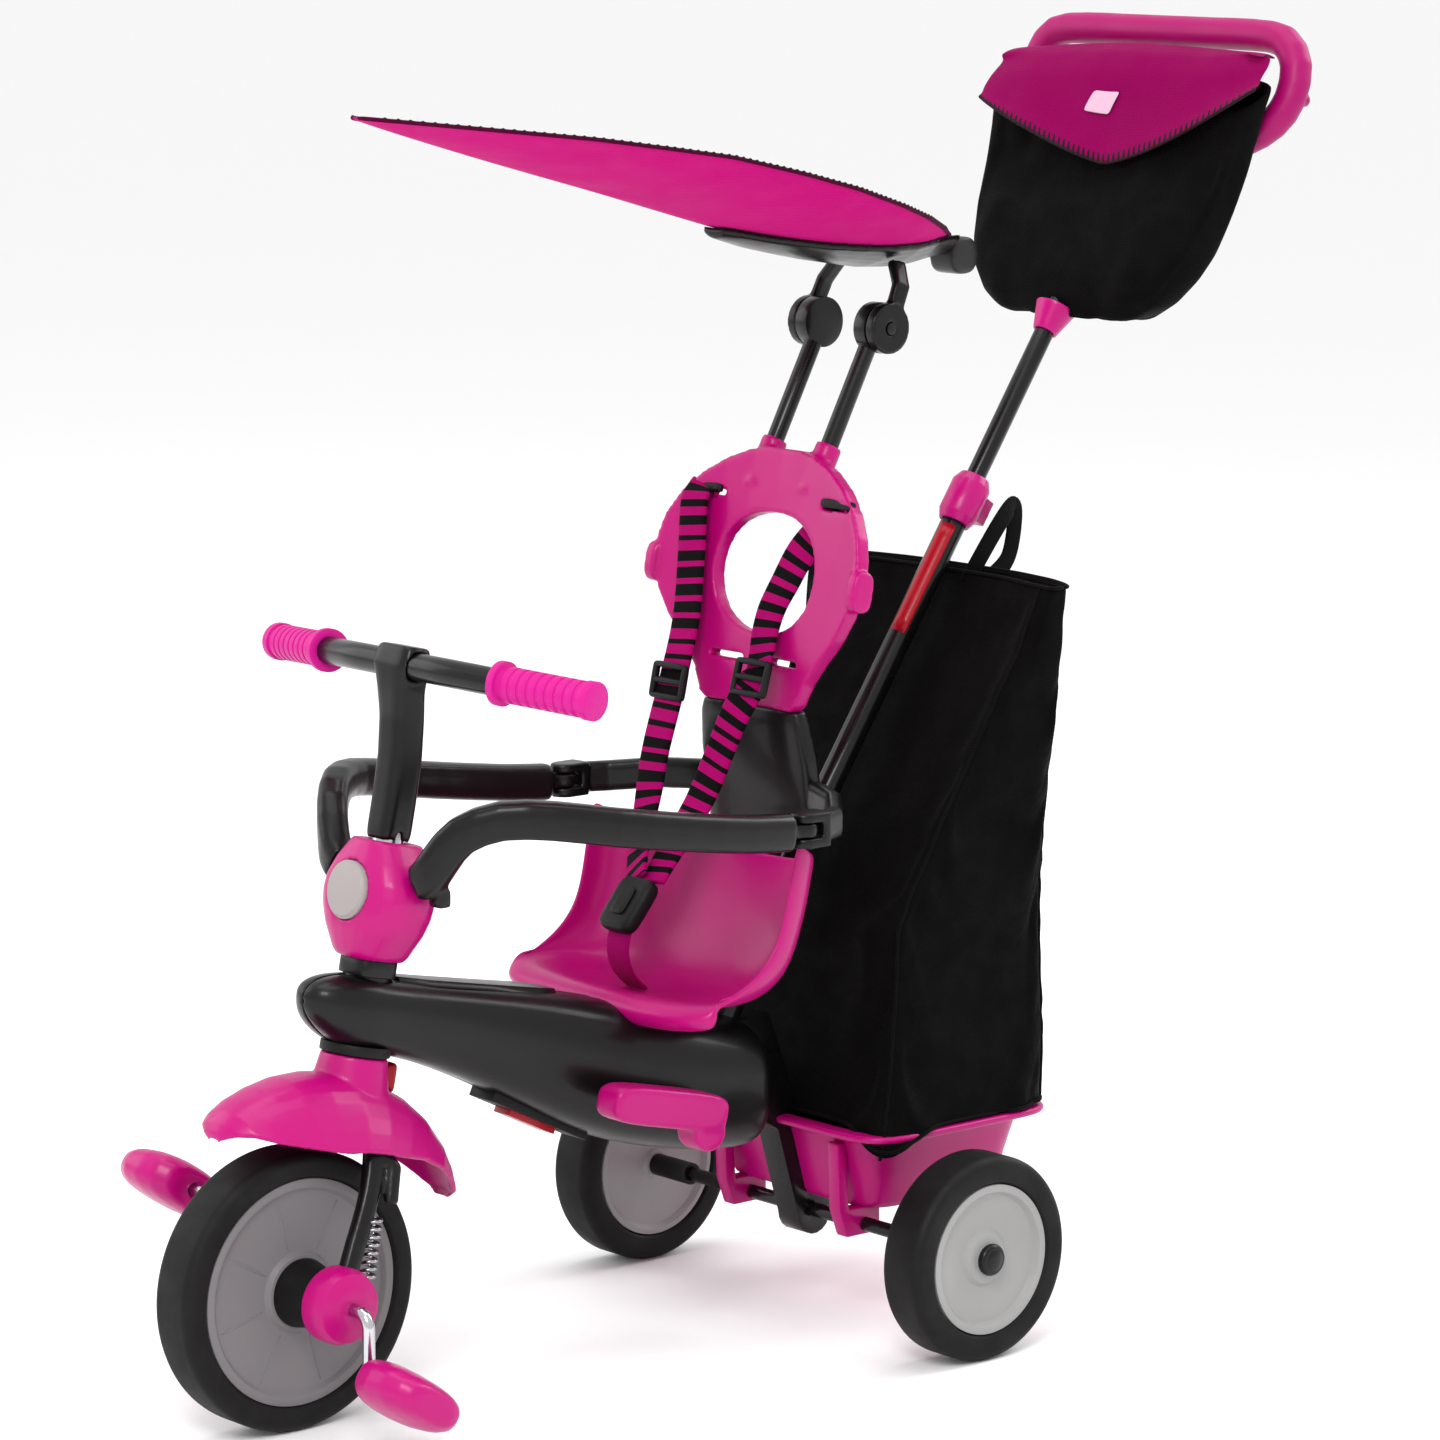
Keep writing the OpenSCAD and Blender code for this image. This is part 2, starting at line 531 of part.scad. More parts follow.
module harness_buckle() {
    color(black) {
        translate([-18, -64, 352]) rotate([50, 0, 0]) block(22, 26, 8);
        translate(strap_far[4] - [0, 2, 0]) rotate([78, 0, 0]) block(22, 17, 7);
        translate(strap_near[4] - [0, 2, 0]) rotate([74, 0, 0]) block(22, 17, 7);
        for (x = [-82, 80]) translate([x, 70.5, 692]) rotate([80, 0, 0]) block(21, 5, 4);
    }
}

// ---------- safety hoop ----------

hoop_path = [hoop_pin + [0, -18, 0], [152, -90, hoop_z + 4], [150, -160, hoop_z + 14], [143, -220, hoop_z + 24],
    [127, -266, hoop_z + 32], [104, -300, hoop_z + 33], [82, -322, hoop_z + 21], [68, -332, hoop_z + 1],
    [59, -336, hoop_z - 13], [50.5, -337, hoop_z - 19]];
module hoop_arm() {
    difference() {
        union() {
            skin(swept(curve(hoop_path, 2), oval(12.5, 15.5, 3.4, 16), [0, 0, 1]));
            translate(hoop_pin - [0, 0, 6]) cylinder(r = 11, h = 12, $fn = 48);
            translate(hoop_pin - [7, 24, 6]) cube([14, 24, 12]);
            translate([54, -334, hoop_z - 38]) cube([16, 12, 14]);
        }
        translate(hoop_pin - [0, 0, 20]) cylinder(r = 4 + fit, h = 40, $fn = 48);
    }
}
module hoop_arm_left() { color(black) hoop_arm(); }
module hoop_arm_right() { color(black) mirror([1, 0, 0]) hoop_arm(); }
// Hinge ears and arm that hold each half of the hoop on the backrest
module hoop_brackets() {
    arm = [[hoop_pin.x, hoop_pin.y + 19, hoop_z], [140, 14, hoop_z], [108, 42, hoop_z + 4], [68, 58, hoop_z + 6]];
    color(black) both_sides() {
        for (z = [-14, 6 + gap]) translate(hoop_pin + [0, 0, z])
            linear_extrude(14 - 6 - gap) polygon([for (a = [180:15:360]) 11 * [cos(a), sin(a)],
                each [[11, 16], [-11, 16]]]);
        translate(hoop_pin - [0, 0, 14]) cylinder(r = 4, h = 28, $fn = 48);
        translate(hoop_pin + [-11, 12, -14]) cube([22, 8, 28]);
        sweep(arm, oval(7, 13, 4, 12));
    }
}

// ---------- canopy ----------

module canopy_rods() {
    color(black) both_sides() {
        on_rod(33, rod_low) cylinder(r = rod_r, h = 126, $fn = 48);
        on_x(knuckle + [knuckle_x - 13, 0, 0]) cylinder(r = knuckle_r, h = 12.8, $fn = 64);
        on_x(knuckle + [knuckle_x - 1, 0, 0]) cylinder(r = 5, h = 12, $fn = 48);
    }
}
module canopy_arms() {
    color(black) {
        both_sides() difference() {
            union() {
                on_x(knuckle + [knuckle_x + gap, 0, 0]) cylinder(r = knuckle_r, h = 10, $fn = 64);
                sweep([knuckle + [knuckle_x + 5.5, 6, 12], knuckle + [knuckle_x + 4, 16, 34],
                    knuckle + [knuckle_x - 8, 22, 52]], oval(4.5, 8, 4, 12), [0, 1, 0]);
            }
            on_x(knuckle + [knuckle_x - 5, 0, 0]) cylinder(r = 5 + fit, h = 30, $fn = 48);
        }
    }
}
// The sheet is a pointed leaf, hollow upwards. Spine: y and z. Edge: y, half width and z
canopy_spine = [[-359, 1015], [-290, 996], [-216, 976], [-96, 945], [-34, 928], [40, 908], [93, 897], [159, 887],
    [204, 885], [256, 893]];
canopy_width = [[-359, 0.012], [-340, 0.17], [-315, 0.33], [-270, 0.56], [-213, 0.77], [-160, 0.91], [-101, 0.985],
    [-30, 1], [35, 0.96], [100, 0.84], [150, 0.68], [202, 0.43], [235, 0.22], [256, 0.1]];
canopy_edge = [[-359, 1015], [-315, 1010], [-213, 999], [-101, 983], [-30, 968], [35, 953], [120, 931], [202, 910],
    [256, 897]];
canopy_rows = [-359, -340, -310, -265, -213, -150, -90, -30, 35, 85, 130, 170, 205, 235, 256];
function canopy_point(y, s) = let (low = at(canopy_spine, y))
    [at(canopy_width, y) * canopy_half * s, y, low + (at(canopy_edge, y) - low) * pow(abs(s), 1.7)];
function canopy_grid(drop) =
    [for (y = canopy_rows) [for (s = [-1:0.125:1]) canopy_point(y, s) - [0, 0, drop]]];
module canopy_sheet() { color(magenta) slab(canopy_grid(0), canopy_grid(canopy_t)); }

holder_half = [[4, 12], [22, 24], [55, 34], [110, 46], [170, 52], [215, 44], [246, 30], [258, 24]];
function holder_grid(lower) = [for (y = [4, 18, 40, 70, 100, 130, 160, 190, 215, 240, 258])
    [for (s = [-1:0.2:1]) let (x = at(holder_half, y) * s,
        z = canopy_point(min(y, 255), x / canopy_half / at(canopy_width, min(y, 255))).z)
        [x, y, z - canopy_t - 0.3 - lower * (1 - 0.45 * s * s)]]];
module canopy_holder() { color(black) slab(holder_grid(0), holder_grid(9)); }
module canopy_clip() {
    color("#5c5a5c") translate([0, 273.5, 880]) skin([for (x = [-16, -14, 14, 16])
        [for (q = oval(abs(x) > 15 ? 12 : 15, abs(x) > 15 ? 13 : 16, 2.6, 20)) [x, q.x, q.y]]]);
}

// ---------- rear frame, basket and bag ----------

boss_z = rear_r - 4;
arm_outline = concat([[22, 258], [58, 262], [rear_axle_y + 20, boss_z + 6]],
    [for (a = [0:-20:-180]) [rear_axle_y + 2 + 18 * cos(a), boss_z + 18 * sin(a)]], [[70, 160], [22, 190]]);
// Room round the arm in what is fitted over it
module arm_recess(gap) {
    translate([-13 - gap, 0, 0]) rotate([90, 0, 90]) linear_extrude(26 + 2 * gap) offset(delta = gap) polygon(arm_outline);
}
module rear_frame() {
    color(black) difference() {
        union() {
            translate([-13, 0, 0]) rotate([90, 0, 90]) linear_extrude(26) polygon(arm_outline);
            on_pole(-250) cylinder(r = 15.6, h = 84, $fn = 64);
        }
        on_pole(-240) cylinder(r = lower_pole_r, h = 120, $fn = 64);
        on_x([-30, rear_axle_y, rear_r]) cylinder(r = axle_r, h = 60, $fn = 48);
    }
}

basket_z = 172;                     // height of the basket's rim
basket_low = 98;
basket_y = 176;                     // middle of the basket, front to back
function tub_ring(half_x, half_y, z, y = basket_y) = [for (q = oval(half_x, half_y, 7, 24)) [q.x, y + q.y, z]];
module basket() {
    color(magenta) {
        merged() difference() {
            difference() {
                skin([tub_ring(96, 78, basket_low, basket_y + 4), tub_ring(114, 92, basket_z - 8),
                    tub_ring(116, 94, basket_z - 7), tub_ring(135, 108, basket_z - 7), tub_ring(135, 108, basket_z)]);
                arm_recess(0.8);
            }
            difference() {
                skin([tub_ring(93, 75, basket_low + 3, basket_y + 4), tub_ring(112, 90, basket_z - 4),
                    tub_ring(113, 91, basket_z + 1)]);
                arm_recess(3.8);
            }
        }
        // Hooks that hang the basket on the axle
        both_sides() difference() {
            translate([64, 0, 0]) rotate([90, 0, 90]) linear_extrude(14)
                polygon([[76, 158], [88, 158], [92, 100], [128, 100], [128, 74], [90, 74], [80, 100]]);
            on_x([50, rear_axle_y, rear_r]) cylinder(r = axle_r, h = 40, $fn = 48);
        }
    }
}
// Each row: z, half width, middle y, half depth, how far the sides come forward
bag_rows = [[104, 84, 176, 66, 0], [140, 98, 174, 78, 0], [172.4, 106, 173, 84, 0], [172.8, 135, 182, 99, 0],
    [182, 137, 183, 99, 0], [260, 134, 187, 97, 0], [340, 132, 189, 94, 0], [431, 135, 217, 66, 4],
    [500, 142, 242, 45, 10], [560, 147, 264, 26, 18], [615, 151, 284, 15, 28]];
function bag_ring(q, inset, z) = [for (v = oval(q[1] - inset, q[3] - inset, 6, 28))
    [v.x, q[2] + v.y - q[4] * pow(v.x / q[1], 2), z]];
bag_t = 3;
module storage_bag() {
    color(cloth) merged() difference() {
        difference() {
            skin([for (q = bag_rows) bag_ring(q, 0, q[0])]);
            arm_recess(4.6);
        }
        difference() {
            skin([for (i = [0:len(bag_rows) - 1])
                bag_ring(bag_rows[i], bag_t, bag_rows[i][0] + (i == 0 ? bag_t : i == len(bag_rows) - 1 ? 1 : 0))]);
            arm_recess(4.6 + bag_t);
        }
    }
}
module bag_loop() {
    path = [[0, 277, 602], [-8, 279, 622], [-13, 282, 640], [-11, 300, 652], [0, 316, 655],
        [11, 300, 652], [13, 282, 640], [8, 279, 622], [0, 277, 602]];
    color(cloth) translate([24, 6, 12]) sweep(curve([[0, 262, 590], [2, 300, 640], [-6, 326, 652], [-10, 324, 610], [-8, 300, 592]], 3),
        oval(9, 1.2, 4, 8), [1, 0, 0]);
}

// ---------- push pole and handle ----------

module pole_lower() { color(black) on_pole(-238) ring(lower_pole_r, upper_pole_r + fit, 238 + clamp_at + 4); }
module pole_clamp() {
    color(magenta) on_pole(clamp_at) difference() {
        union() {
            translate([0, 0, -22]) cylinder(r1 = 13.5, r2 = 17, h = 8, $fn = 64);
            translate([0, 0, -14]) cylinder(r = 17, h = 28, $fn = 64);
            translate([0, 0, 14]) cylinder(r1 = 17, r2 = 13, h = 8, $fn = 64);
            translate([-9, 8, -11]) cube([18, 16, 22]);
        }
        translate([0, 0, -23]) cylinder(r = lower_pole_r, h = 27, $fn = 64);
        cylinder(r = upper_pole_r + fit, h = 40, $fn = 64);
        translate([0, 14, 0]) rotate([-90, 0, 0]) cylinder(r = 6 + fit, h = 20, $fn = 48);
    }
}
module clamp_button() {
    color(red) on_pole(clamp_at) translate([0, 18, 0]) rotate([-90, 0, 0]) cylinder(r = 6, h = 9, $fn = 48);
}
upper_from = clamp_at - 160;        // lower end of the upper pole inside the lower one
collar_at = 455;                    // along the pole
yoke_at = 600;                      // where the upper pole ends inside the handle
module pole_upper() { color(black) on_pole(upper_from) ring(upper_pole_r, upper_pole_r - 1.5, yoke_at - upper_from); }
module pole_collar() {
    color(magenta) on_pole(collar_at) difference() {
        cylinder(r1 = 10.5, r2 = 18, h = 24, $fn = 64);
        translate([0, 0, -1]) cylinder(r = upper_pole_r, h = 30, $fn = 64);
    }
}
handle_side = [[6, 484, 958], [45, 486, 960], [92, 491, 965], [122, 498, 974], [143, 508, 988],
    [handle_half + 2, 517, 1009], [handle_half + 1, 525, 1037], [handle_half - 16, 528, 1057],
    [100, 528.5, 1061], [50, 528.5, 1061]];
handle_path = curve(concat(handle_side, [[0, 528.5, 1061]], backwards(flip_x(handle_side))), 2);
press_at = [handle_half + 2, 517, 1008];
module handle() {
    color(magenta) difference() {
        union() {
            sweep(handle_path, oval(handle_r, handle_r, 2, 14), [0, 1, 0.01]);
            on_pole(505) cylinder(r = 15, h = 134, $fn = 64);
        }
        on_pole(500) cylinder(r = upper_pole_r, h = yoke_at - 500, $fn = 64);
        translate(press_at + [0, 4, 0]) rotate([-90, 0, 0]) cylinder(r = 6 + fit, h = 20, $fn = 48);
    }
}
module handle_button() {
    color("#7d0048") translate(press_at + [0, 8, 0]) rotate([-90, 0, 0]) cylinder(r = 6, h = 10.5, $fn = 48);
}
// Each row: z, half width, middle y, half depth, how much higher the rear is
pouch_rows = [[822, 58, 418, 18, 0], [828, 82, 419, 27, 0], [842, 104, 421, 33, 0], [862, 122, 427, 37, 0],
    [884, 134, 436, 38, 0], [915, 142, 449, 37, 0], [950, 147, 461, 35, 4], [985, 147, 472, 33, 14],
    [1012, 143, 476, 33, 20]];
function pouch_ring(q, inset, lift) = [for (v = oval(q[1] - inset, q[3] - inset, 3.6, 28))
    [v.x, q[2] + v.y, q[0] + lift + q[4] * v.y / q[3]]];
module pouch() {
    last = len(pouch_rows) - 1;
    color(cloth) merged() difference() {
        skin([for (q = pouch_rows) pouch_ring(q, 0, 0)]);
        skin([for (i = [0:last]) pouch_ring(pouch_rows[i], 3, i == 0 ? 3 : i == last ? 1 : 0)]);
        on_pole(400) cylinder(r = 18.4, h = collar_at - 400 + 25, $fn = 32);
        on_pole(400) cylinder(r = 9, h = 200, $fn = 32);
        on_pole(504) cylinder(r = 15.5, h = 140, $fn = 32);
        sweep(curve([for (p = handle_side) p], 1), oval(handle_r + 0.8, handle_r + 0.8, 2, 14), [0, 1, 0.01]);
        sweep(curve([for (p = flip_x(handle_side)) p], 1), oval(handle_r + 0.8, handle_r + 0.8, 2, 14), [0, 1, 0.01]);
    }
}
// Flap from the pouch's rear edge, over its opening and down its front to a point
flap_rows = [[509, 1047, 1040], [484, 1049, 1041], [461, 1042, 1034], [445, 1025, 1021],
    [436, 998, 1012], [431, 970, 1004], [429.5, 951, 999]];
function flap_grid(lift) = [for (k = [0:6]) let (q = flap_rows[k]) [for (s = [-1:0.1:1])
    let (side = pow(abs(s), 1.35), in = pow(abs(s), 5), drop = k < 3 ? 1 : 0.3)
    [143 * s, q[0] + 12 * in * (k > 1 ? 1 : -0.6) - lift, q[1] + (q[2] - q[1]) * side + lift * drop]]];
module pouch_flap() { color("#a80060") slab(flap_grid(2.2), flap_grid(0)); }

// ---------- footrest and its latch ----------

module footrest() {
    color(magenta) merged() {
        both_sides() {
            translate(footrest_pin) rotate([-13, 0, 0]) skin([for (x = [70, 73, 97, 100])
                [for (q = oval(x == 70 || x == 100 ? 58 : 61, x == 70 || x == 100 ? 13 : 16, 4.5, 24))
                    [x, q.x - 46, q.y + 16]]]);
            on_x(footrest_pin + [71, 0, 0]) cylinder(r = 16, h = 27, $fn = 40);
        }
    }
}
module footrest_rod() { color(steel) on_x(footrest_pin - [92, 0, 0]) cylinder(r = 5, h = 184, $fn = 48); }
module latch_housing() {
    color(black) on_latch() difference() {
        translate([-15, -44, -7]) cube([30, 108, 8.5]);
        translate([-11, -20, -8]) cube([22, 60, 4]);
    }
}
module footrest_latch() {
    color(red) on_latch() translate([-10, -18, -12]) cube([20, 52, 7]);
}

front_tyre();
front_rims();
front_hub();
crank_axle();
pedal_left();
pedal_right();
fork();
hub_covers();
fork_springs();
front_fender();
steering_button();
steerer_tube();
stem();
handlebar();
grips();
head_tube();
head_bushes();
body_shell_left();
body_shell_right();
top_cover();
main_tube();
column();
steering_hub();
hub_badge();
hoop_arm_left();
hoop_arm_right();
hoop_brackets();
seat();
backrest_lower();
backrest();
canopy_rods();
canopy_arms();
canopy_holder();
canopy_clip();
canopy_sheet();
harness_straps();
harness_buckle();
rear_frame();
rear_axle();
axle_sleeves();
rear_tyre_left();
rear_tyre_right();
rear_rim_left();
rear_rim_right();
basket();
storage_bag();
bag_loop();
pole_lower();
pole_clamp();
clamp_button();
pole_upper();
pole_collar();
handle();
handle_button();
pouch();
pouch_flap();
footrest();
footrest_rod();
latch_housing();
footrest_latch();
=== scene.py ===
"""Looks of the children's tricycle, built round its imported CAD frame. Bare lengths are millimetres."""

import json
import math

import bpy
from mathutils import Matrix, Vector


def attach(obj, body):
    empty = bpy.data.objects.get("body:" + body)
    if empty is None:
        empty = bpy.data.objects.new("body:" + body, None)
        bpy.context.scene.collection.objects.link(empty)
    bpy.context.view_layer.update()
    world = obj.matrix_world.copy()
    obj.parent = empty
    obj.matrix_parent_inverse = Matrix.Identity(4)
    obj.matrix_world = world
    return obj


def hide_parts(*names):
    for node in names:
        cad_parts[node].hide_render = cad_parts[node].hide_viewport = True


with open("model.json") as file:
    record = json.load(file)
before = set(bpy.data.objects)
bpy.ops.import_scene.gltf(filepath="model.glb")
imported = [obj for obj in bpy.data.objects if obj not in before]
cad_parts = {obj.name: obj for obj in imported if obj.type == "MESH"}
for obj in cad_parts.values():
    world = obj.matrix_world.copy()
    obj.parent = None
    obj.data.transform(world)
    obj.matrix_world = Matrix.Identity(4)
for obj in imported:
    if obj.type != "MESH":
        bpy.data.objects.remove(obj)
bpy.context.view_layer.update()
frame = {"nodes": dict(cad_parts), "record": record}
NODES = frame["nodes"]
BODY_OF = {n: b for b, nodes in frame["record"]["behaviour"]["bodies"].items() for n in nodes}
SLOT_OF = {p["node"]: p["material_slot"] for p in frame["record"]["subparts"]}

RAKE = math.radians(11.6)       # lean of the steering axis
LEAN = math.radians(33.9)       # lean of the push pole
HEAD = (0, -364.5, 287.5)       # a point on the steering axis
POLE = (0, 128.5, 431)          # a point on the push pole's axis
FRONT_AXLE = (-433, 111)        # y and z of the front wheel's centre
REAR_HUB = (208, 110, 85)       # centre of the left rear wheel
MM = 0.001


# ---------- shapes ----------

def lookup(table, t):
    """Value at t in a table of (t, value) rows, straight between rows."""
    for (t0, v0), (t1, v1) in zip(table, table[1:]):
        if t <= t1:
            k = (t - t0) / (t1 - t0)
            return v0 + (v1 - v0) * min(max(k, 0), 1)
    return table[-1][1]


def power(v, e):
    """One coordinate of a superellipse of exponent e, from the sine or cosine v."""
    return math.copysign(abs(v) ** (2 / e), v)


def oval(a, b, e=3, n=16):
    """Points of a rounded outline of half sizes a and b: e of 2 is an ellipse, larger is squarer."""
    turns = [2 * math.pi * (i + 0.5) / n for i in range(n)]
    return [(a * power(math.cos(t), e), b * power(math.sin(t), e)) for t in turns]


def curve(points, k=4):
    """Smooth curve through given points, with k steps between each pair."""
    p = [Vector(q) for q in points]
    out = []
    for i in range(len(p) - 1):
        a, b, c, d = p[max(i - 1, 0)], p[i], p[i + 1], p[min(i + 2, len(p) - 1)]
        for j in range(k):
            t = j / k
            out.append(0.5 * (2 * b + (c - a) * t + (2 * a - 5 * b + 4 * c - d) * t ** 2
                              + (3 * b - a - 3 * c + d) * t ** 3))
    return out + [p[-1]]


def swept(path, section, up, scale=None):
    """Rings of a section carried along a path, the section's second direction kept near up."""
    rings = []
    for k, p in enumerate(path):
        t = (path[min(k + 1, len(path) - 1)] - path[max(k - 1, 0)]).normalized()
        s = t.cross(Vector(up)).normalized()
        u = s.cross(t)
        q = scale[k] if scale else 1
        rings.append([p + x * q * s + y * q * u for x, y in section])
    return rings


def skin(rings, caps=True):
    """Vertices and faces of a surface over closed rings of equal point count."""
    n = len(rings[0])
    verts = [v for r in rings for v in r]
    faces = [(j * n + i, j * n + (i + 1) % n, (j + 1) * n + (i + 1) % n, (j + 1) * n + i)
             for j in range(len(rings) - 1) for i in range(n)]
    if caps:
        faces.append(tuple(range(n - 1, -1, -1)))
        faces.append(tuple(range((len(rings) - 1) * n, len(rings) * n)))
    return verts, faces


def grid(rows):
    """Vertices and faces of an open sheet over rows of equal point count."""
    n = len(rows[0])
    faces = [(j * n + i, j * n + i + 1, (j + 1) * n + i + 1, (j + 1) * n + i)
             for j in range(len(rows) - 1) for i in range(n - 1)]
    return [v for r in rows for v in r], faces


def both(*shapes):
    """Several (vertices, faces) as one."""
    verts, faces = [], []
    for v, f in shapes:
        faces += [tuple(i + len(verts) for i in q) for q in f]
        verts += list(v)
    return verts, faces


def reversed_faces(shape):
    """The same surface facing the other way."""
    verts, faces = shape
    return verts, [tuple(reversed(f)) for f in faces]


def tilted(shape, origin, angle):
    """A surface moved from a frame that leans by angle about X, with its origin on the object."""
    turn = Matrix.Rotation(-angle, 3, "X")
    return [turn @ Vector(v) + Vector(origin) for v in shape[0]], shape[1]


def between(rows, k):
    """Rows of a table with k - 1 more between each pair."""
    out = []
    for a, b in zip(rows, rows[1:]):
        out += [tuple(p + (q - p) * j / k for p, q in zip(a, b)) for j in range(k)]
    return out + [rows[-1]]


def moved(rings, moves):
    """Rings with each point shifted by its own move."""
    return [[Vector(p) + m for p, m in zip(ring, line)] for ring, line in zip(rings, moves)]


# ---------- pieces ----------

def finish_mesh(obj, sharp):
    """Smooth shading, broken at edges sharper than so many degrees when sharp isn't 0."""
    for poly in obj.data.polygons:
        poly.use_smooth = True
    if sharp:
        obj.modifiers.new("Edges", "EDGE_SPLIT").split_angle = math.radians(sharp)


def piece(name, shape, body, slot, material, replaces=(), subdivide=2, sharp=0, thick=0, bevel=0):
    """A new mesh piece that rides on a body. thick, if given, turns an open sheet into a solid."""
    mesh = bpy.data.meshes.new(name)
    mesh.from_pydata([Vector(v) * MM for v in shape[0]], [], shape[1])
    mesh.validate()
    obj = bpy.data.objects.new(name, mesh)
    bpy.context.scene.collection.objects.link(obj)
    obj.modifiers.new("Weld", "WELD").merge_threshold = 1e-5
    if thick:
        solid = obj.modifiers.new("Thickness", "SOLIDIFY")
        solid.thickness = thick * MM
        solid.offset = -1
        solid.use_even_offset = True
    if bevel:
        edge = obj.modifiers.new("Bevel", "BEVEL")
        edge.width = bevel * MM
        edge.segments = 2
        edge.limit_method = "ANGLE"
    if subdivide:
        smooth = obj.modifiers.new("Smooth", "SUBSURF")
        smooth.levels = smooth.render_levels = subdivide
    finish_mesh(obj, sharp)
    mesh.materials.append(material)
    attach(obj, body)
    if replaces:
        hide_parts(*replaces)
    return obj


def stands_for(name, shape, node, material, **how):
    """A piece that replaces one CAD node and takes its body from it."""
    return piece(name, shape, BODY_OF[node], SLOT_OF[node], material, replaces=(node,), **how)


def welded(node, material):
    """A kept CAD node with its material and its doubled vertices joined."""
    obj = NODES[node]
    obj.data.materials.clear()
    obj.data.materials.append(material)
    obj.modifiers.new("Weld", "WELD").merge_threshold = 2e-5
    return obj


def polish(node, material):
    """Keeps a CAD node and gives it its material, soft edges and smooth shading."""
    obj = welded(node, material)
    edge = obj.modifiers.new("Bevel", "BEVEL")
    edge.width = 0.6 * MM
    edge.segments = 2
    edge.limit_method = "ANGLE"
    edge.angle_limit = math.radians(35)
    finish_mesh(obj, 32)


def mould(node, material, voxel, rounds):
    """Keeps a CAD node of flat facets and rounds them off, as a moulding is."""
    obj = welded(node, material)
    remesh = obj.modifiers.new("Remesh", "REMESH")
    remesh.mode = "VOXEL"
    remesh.voxel_size = voxel * MM
    remesh.use_smooth_shade = True
    smooth = obj.modifiers.new("Round", "SMOOTH")
    smooth.factor = 0.5
    smooth.iterations = rounds
    finish_mesh(obj, 0)


# ---------- materials ----------

def surface(name, colour, rough, vary=0.10, mottle=9.0, grain=(900.0, 0.05), metal=0.0, coat=0.0, sheen=0.0,
            weave=None, scuff=0.0):
    """A procedural material: mottled colour, uneven gloss, fine grain and, for cloth, a weave.

    grain is the scale and strength of the relief; a weave has its own scale and takes only the strength."""
    m = bpy.data.materials.new(name)
    m.use_nodes = True
    nodes, links = m.node_tree.nodes, m.node_tree.links
    shader = nodes["Principled BSDF"]
    shader.inputs["Metallic"].default_value = metal
    shader.inputs["Coat Weight"].default_value = coat
    shader.inputs["Coat Roughness"].default_value = 0.12
    shader.inputs["Sheen Weight"].default_value = sheen
    shader.inputs["Sheen Roughness"].default_value = 0.4
    shader.inputs["Specular IOR Level"].default_value = 0.04 if weave else 0.2
    where = nodes.new("ShaderNodeTexCoord")

    def noise(scale, detail=4.0):
        n = nodes.new("ShaderNodeTexNoise")
        n.inputs["Scale"].default_value = scale
        n.inputs["Detail"].default_value = detail
        links.new(where.outputs["Object"], n.inputs["Vector"])
        return n.outputs["Fac"]

    def ranged(value, low, high):
        r = nodes.new("ShaderNodeMapRange")
        r.inputs["From Min"].default_value = 0.3
        r.inputs["From Max"].default_value = 0.7
        r.inputs["To Min"].default_value = low
        r.inputs["To Max"].default_value = high
        links.new(value, r.inputs["Value"])
        return r.outputs["Result"]

    tint = nodes.new("ShaderNodeMix")
    tint.data_type = "RGBA"
    tint.inputs["A"].default_value = (*[max(c * (1 - vary), 0) for c in colour], 1)
    tint.inputs["B"].default_value = (*[min(c * (1 + vary), 1) for c in colour], 1)
    links.new(noise(mottle), tint.inputs["Factor"])
    base = tint.outputs["Result"]
    if scuff:
        worn = nodes.new("ShaderNodeMix")
        worn.data_type = "RGBA"
        worn.inputs["B"].default_value = (*[min(c + scuff, 1) for c in colour], 1)
        links.new(ranged(noise(60.0, 8.0), -0.6, 0.6), worn.inputs["Factor"])
        links.new(base, worn.inputs["A"])
        base = worn.outputs["Result"]
    links.new(base, shader.inputs["Base Color"])
    links.new(ranged(noise(mottle * 3), rough * 0.85, rough * 1.15), shader.inputs["Roughness"])

    if weave:
        threads = []
        for axis in ("X", "Z"):
            w = nodes.new("ShaderNodeTexWave")
            w.bands_direction = axis
            w.inputs["Scale"].default_value = weave
            w.inputs["Distortion"].default_value = 0.6
            links.new(where.outputs["Object"], w.inputs["Vector"])
            threads.append(w.outputs["Fac"])
        cross = nodes.new("ShaderNodeMath")
        cross.operation = "MULTIPLY"
        links.new(threads[0], cross.inputs[0])
        links.new(threads[1], cross.inputs[1])
        height = cross.outputs["Value"]
    else:
        height = noise(grain[0], 2.0)
    bump = nodes.new("ShaderNodeBump")
    bump.inputs["Strength"].default_value = grain[1]
    bump.inputs["Distance"].default_value = 0.0006
    links.new(height, bump.inputs["Height"])
    links.new(bump.outputs["Normal"], shader.inputs["Normal"])
    return m


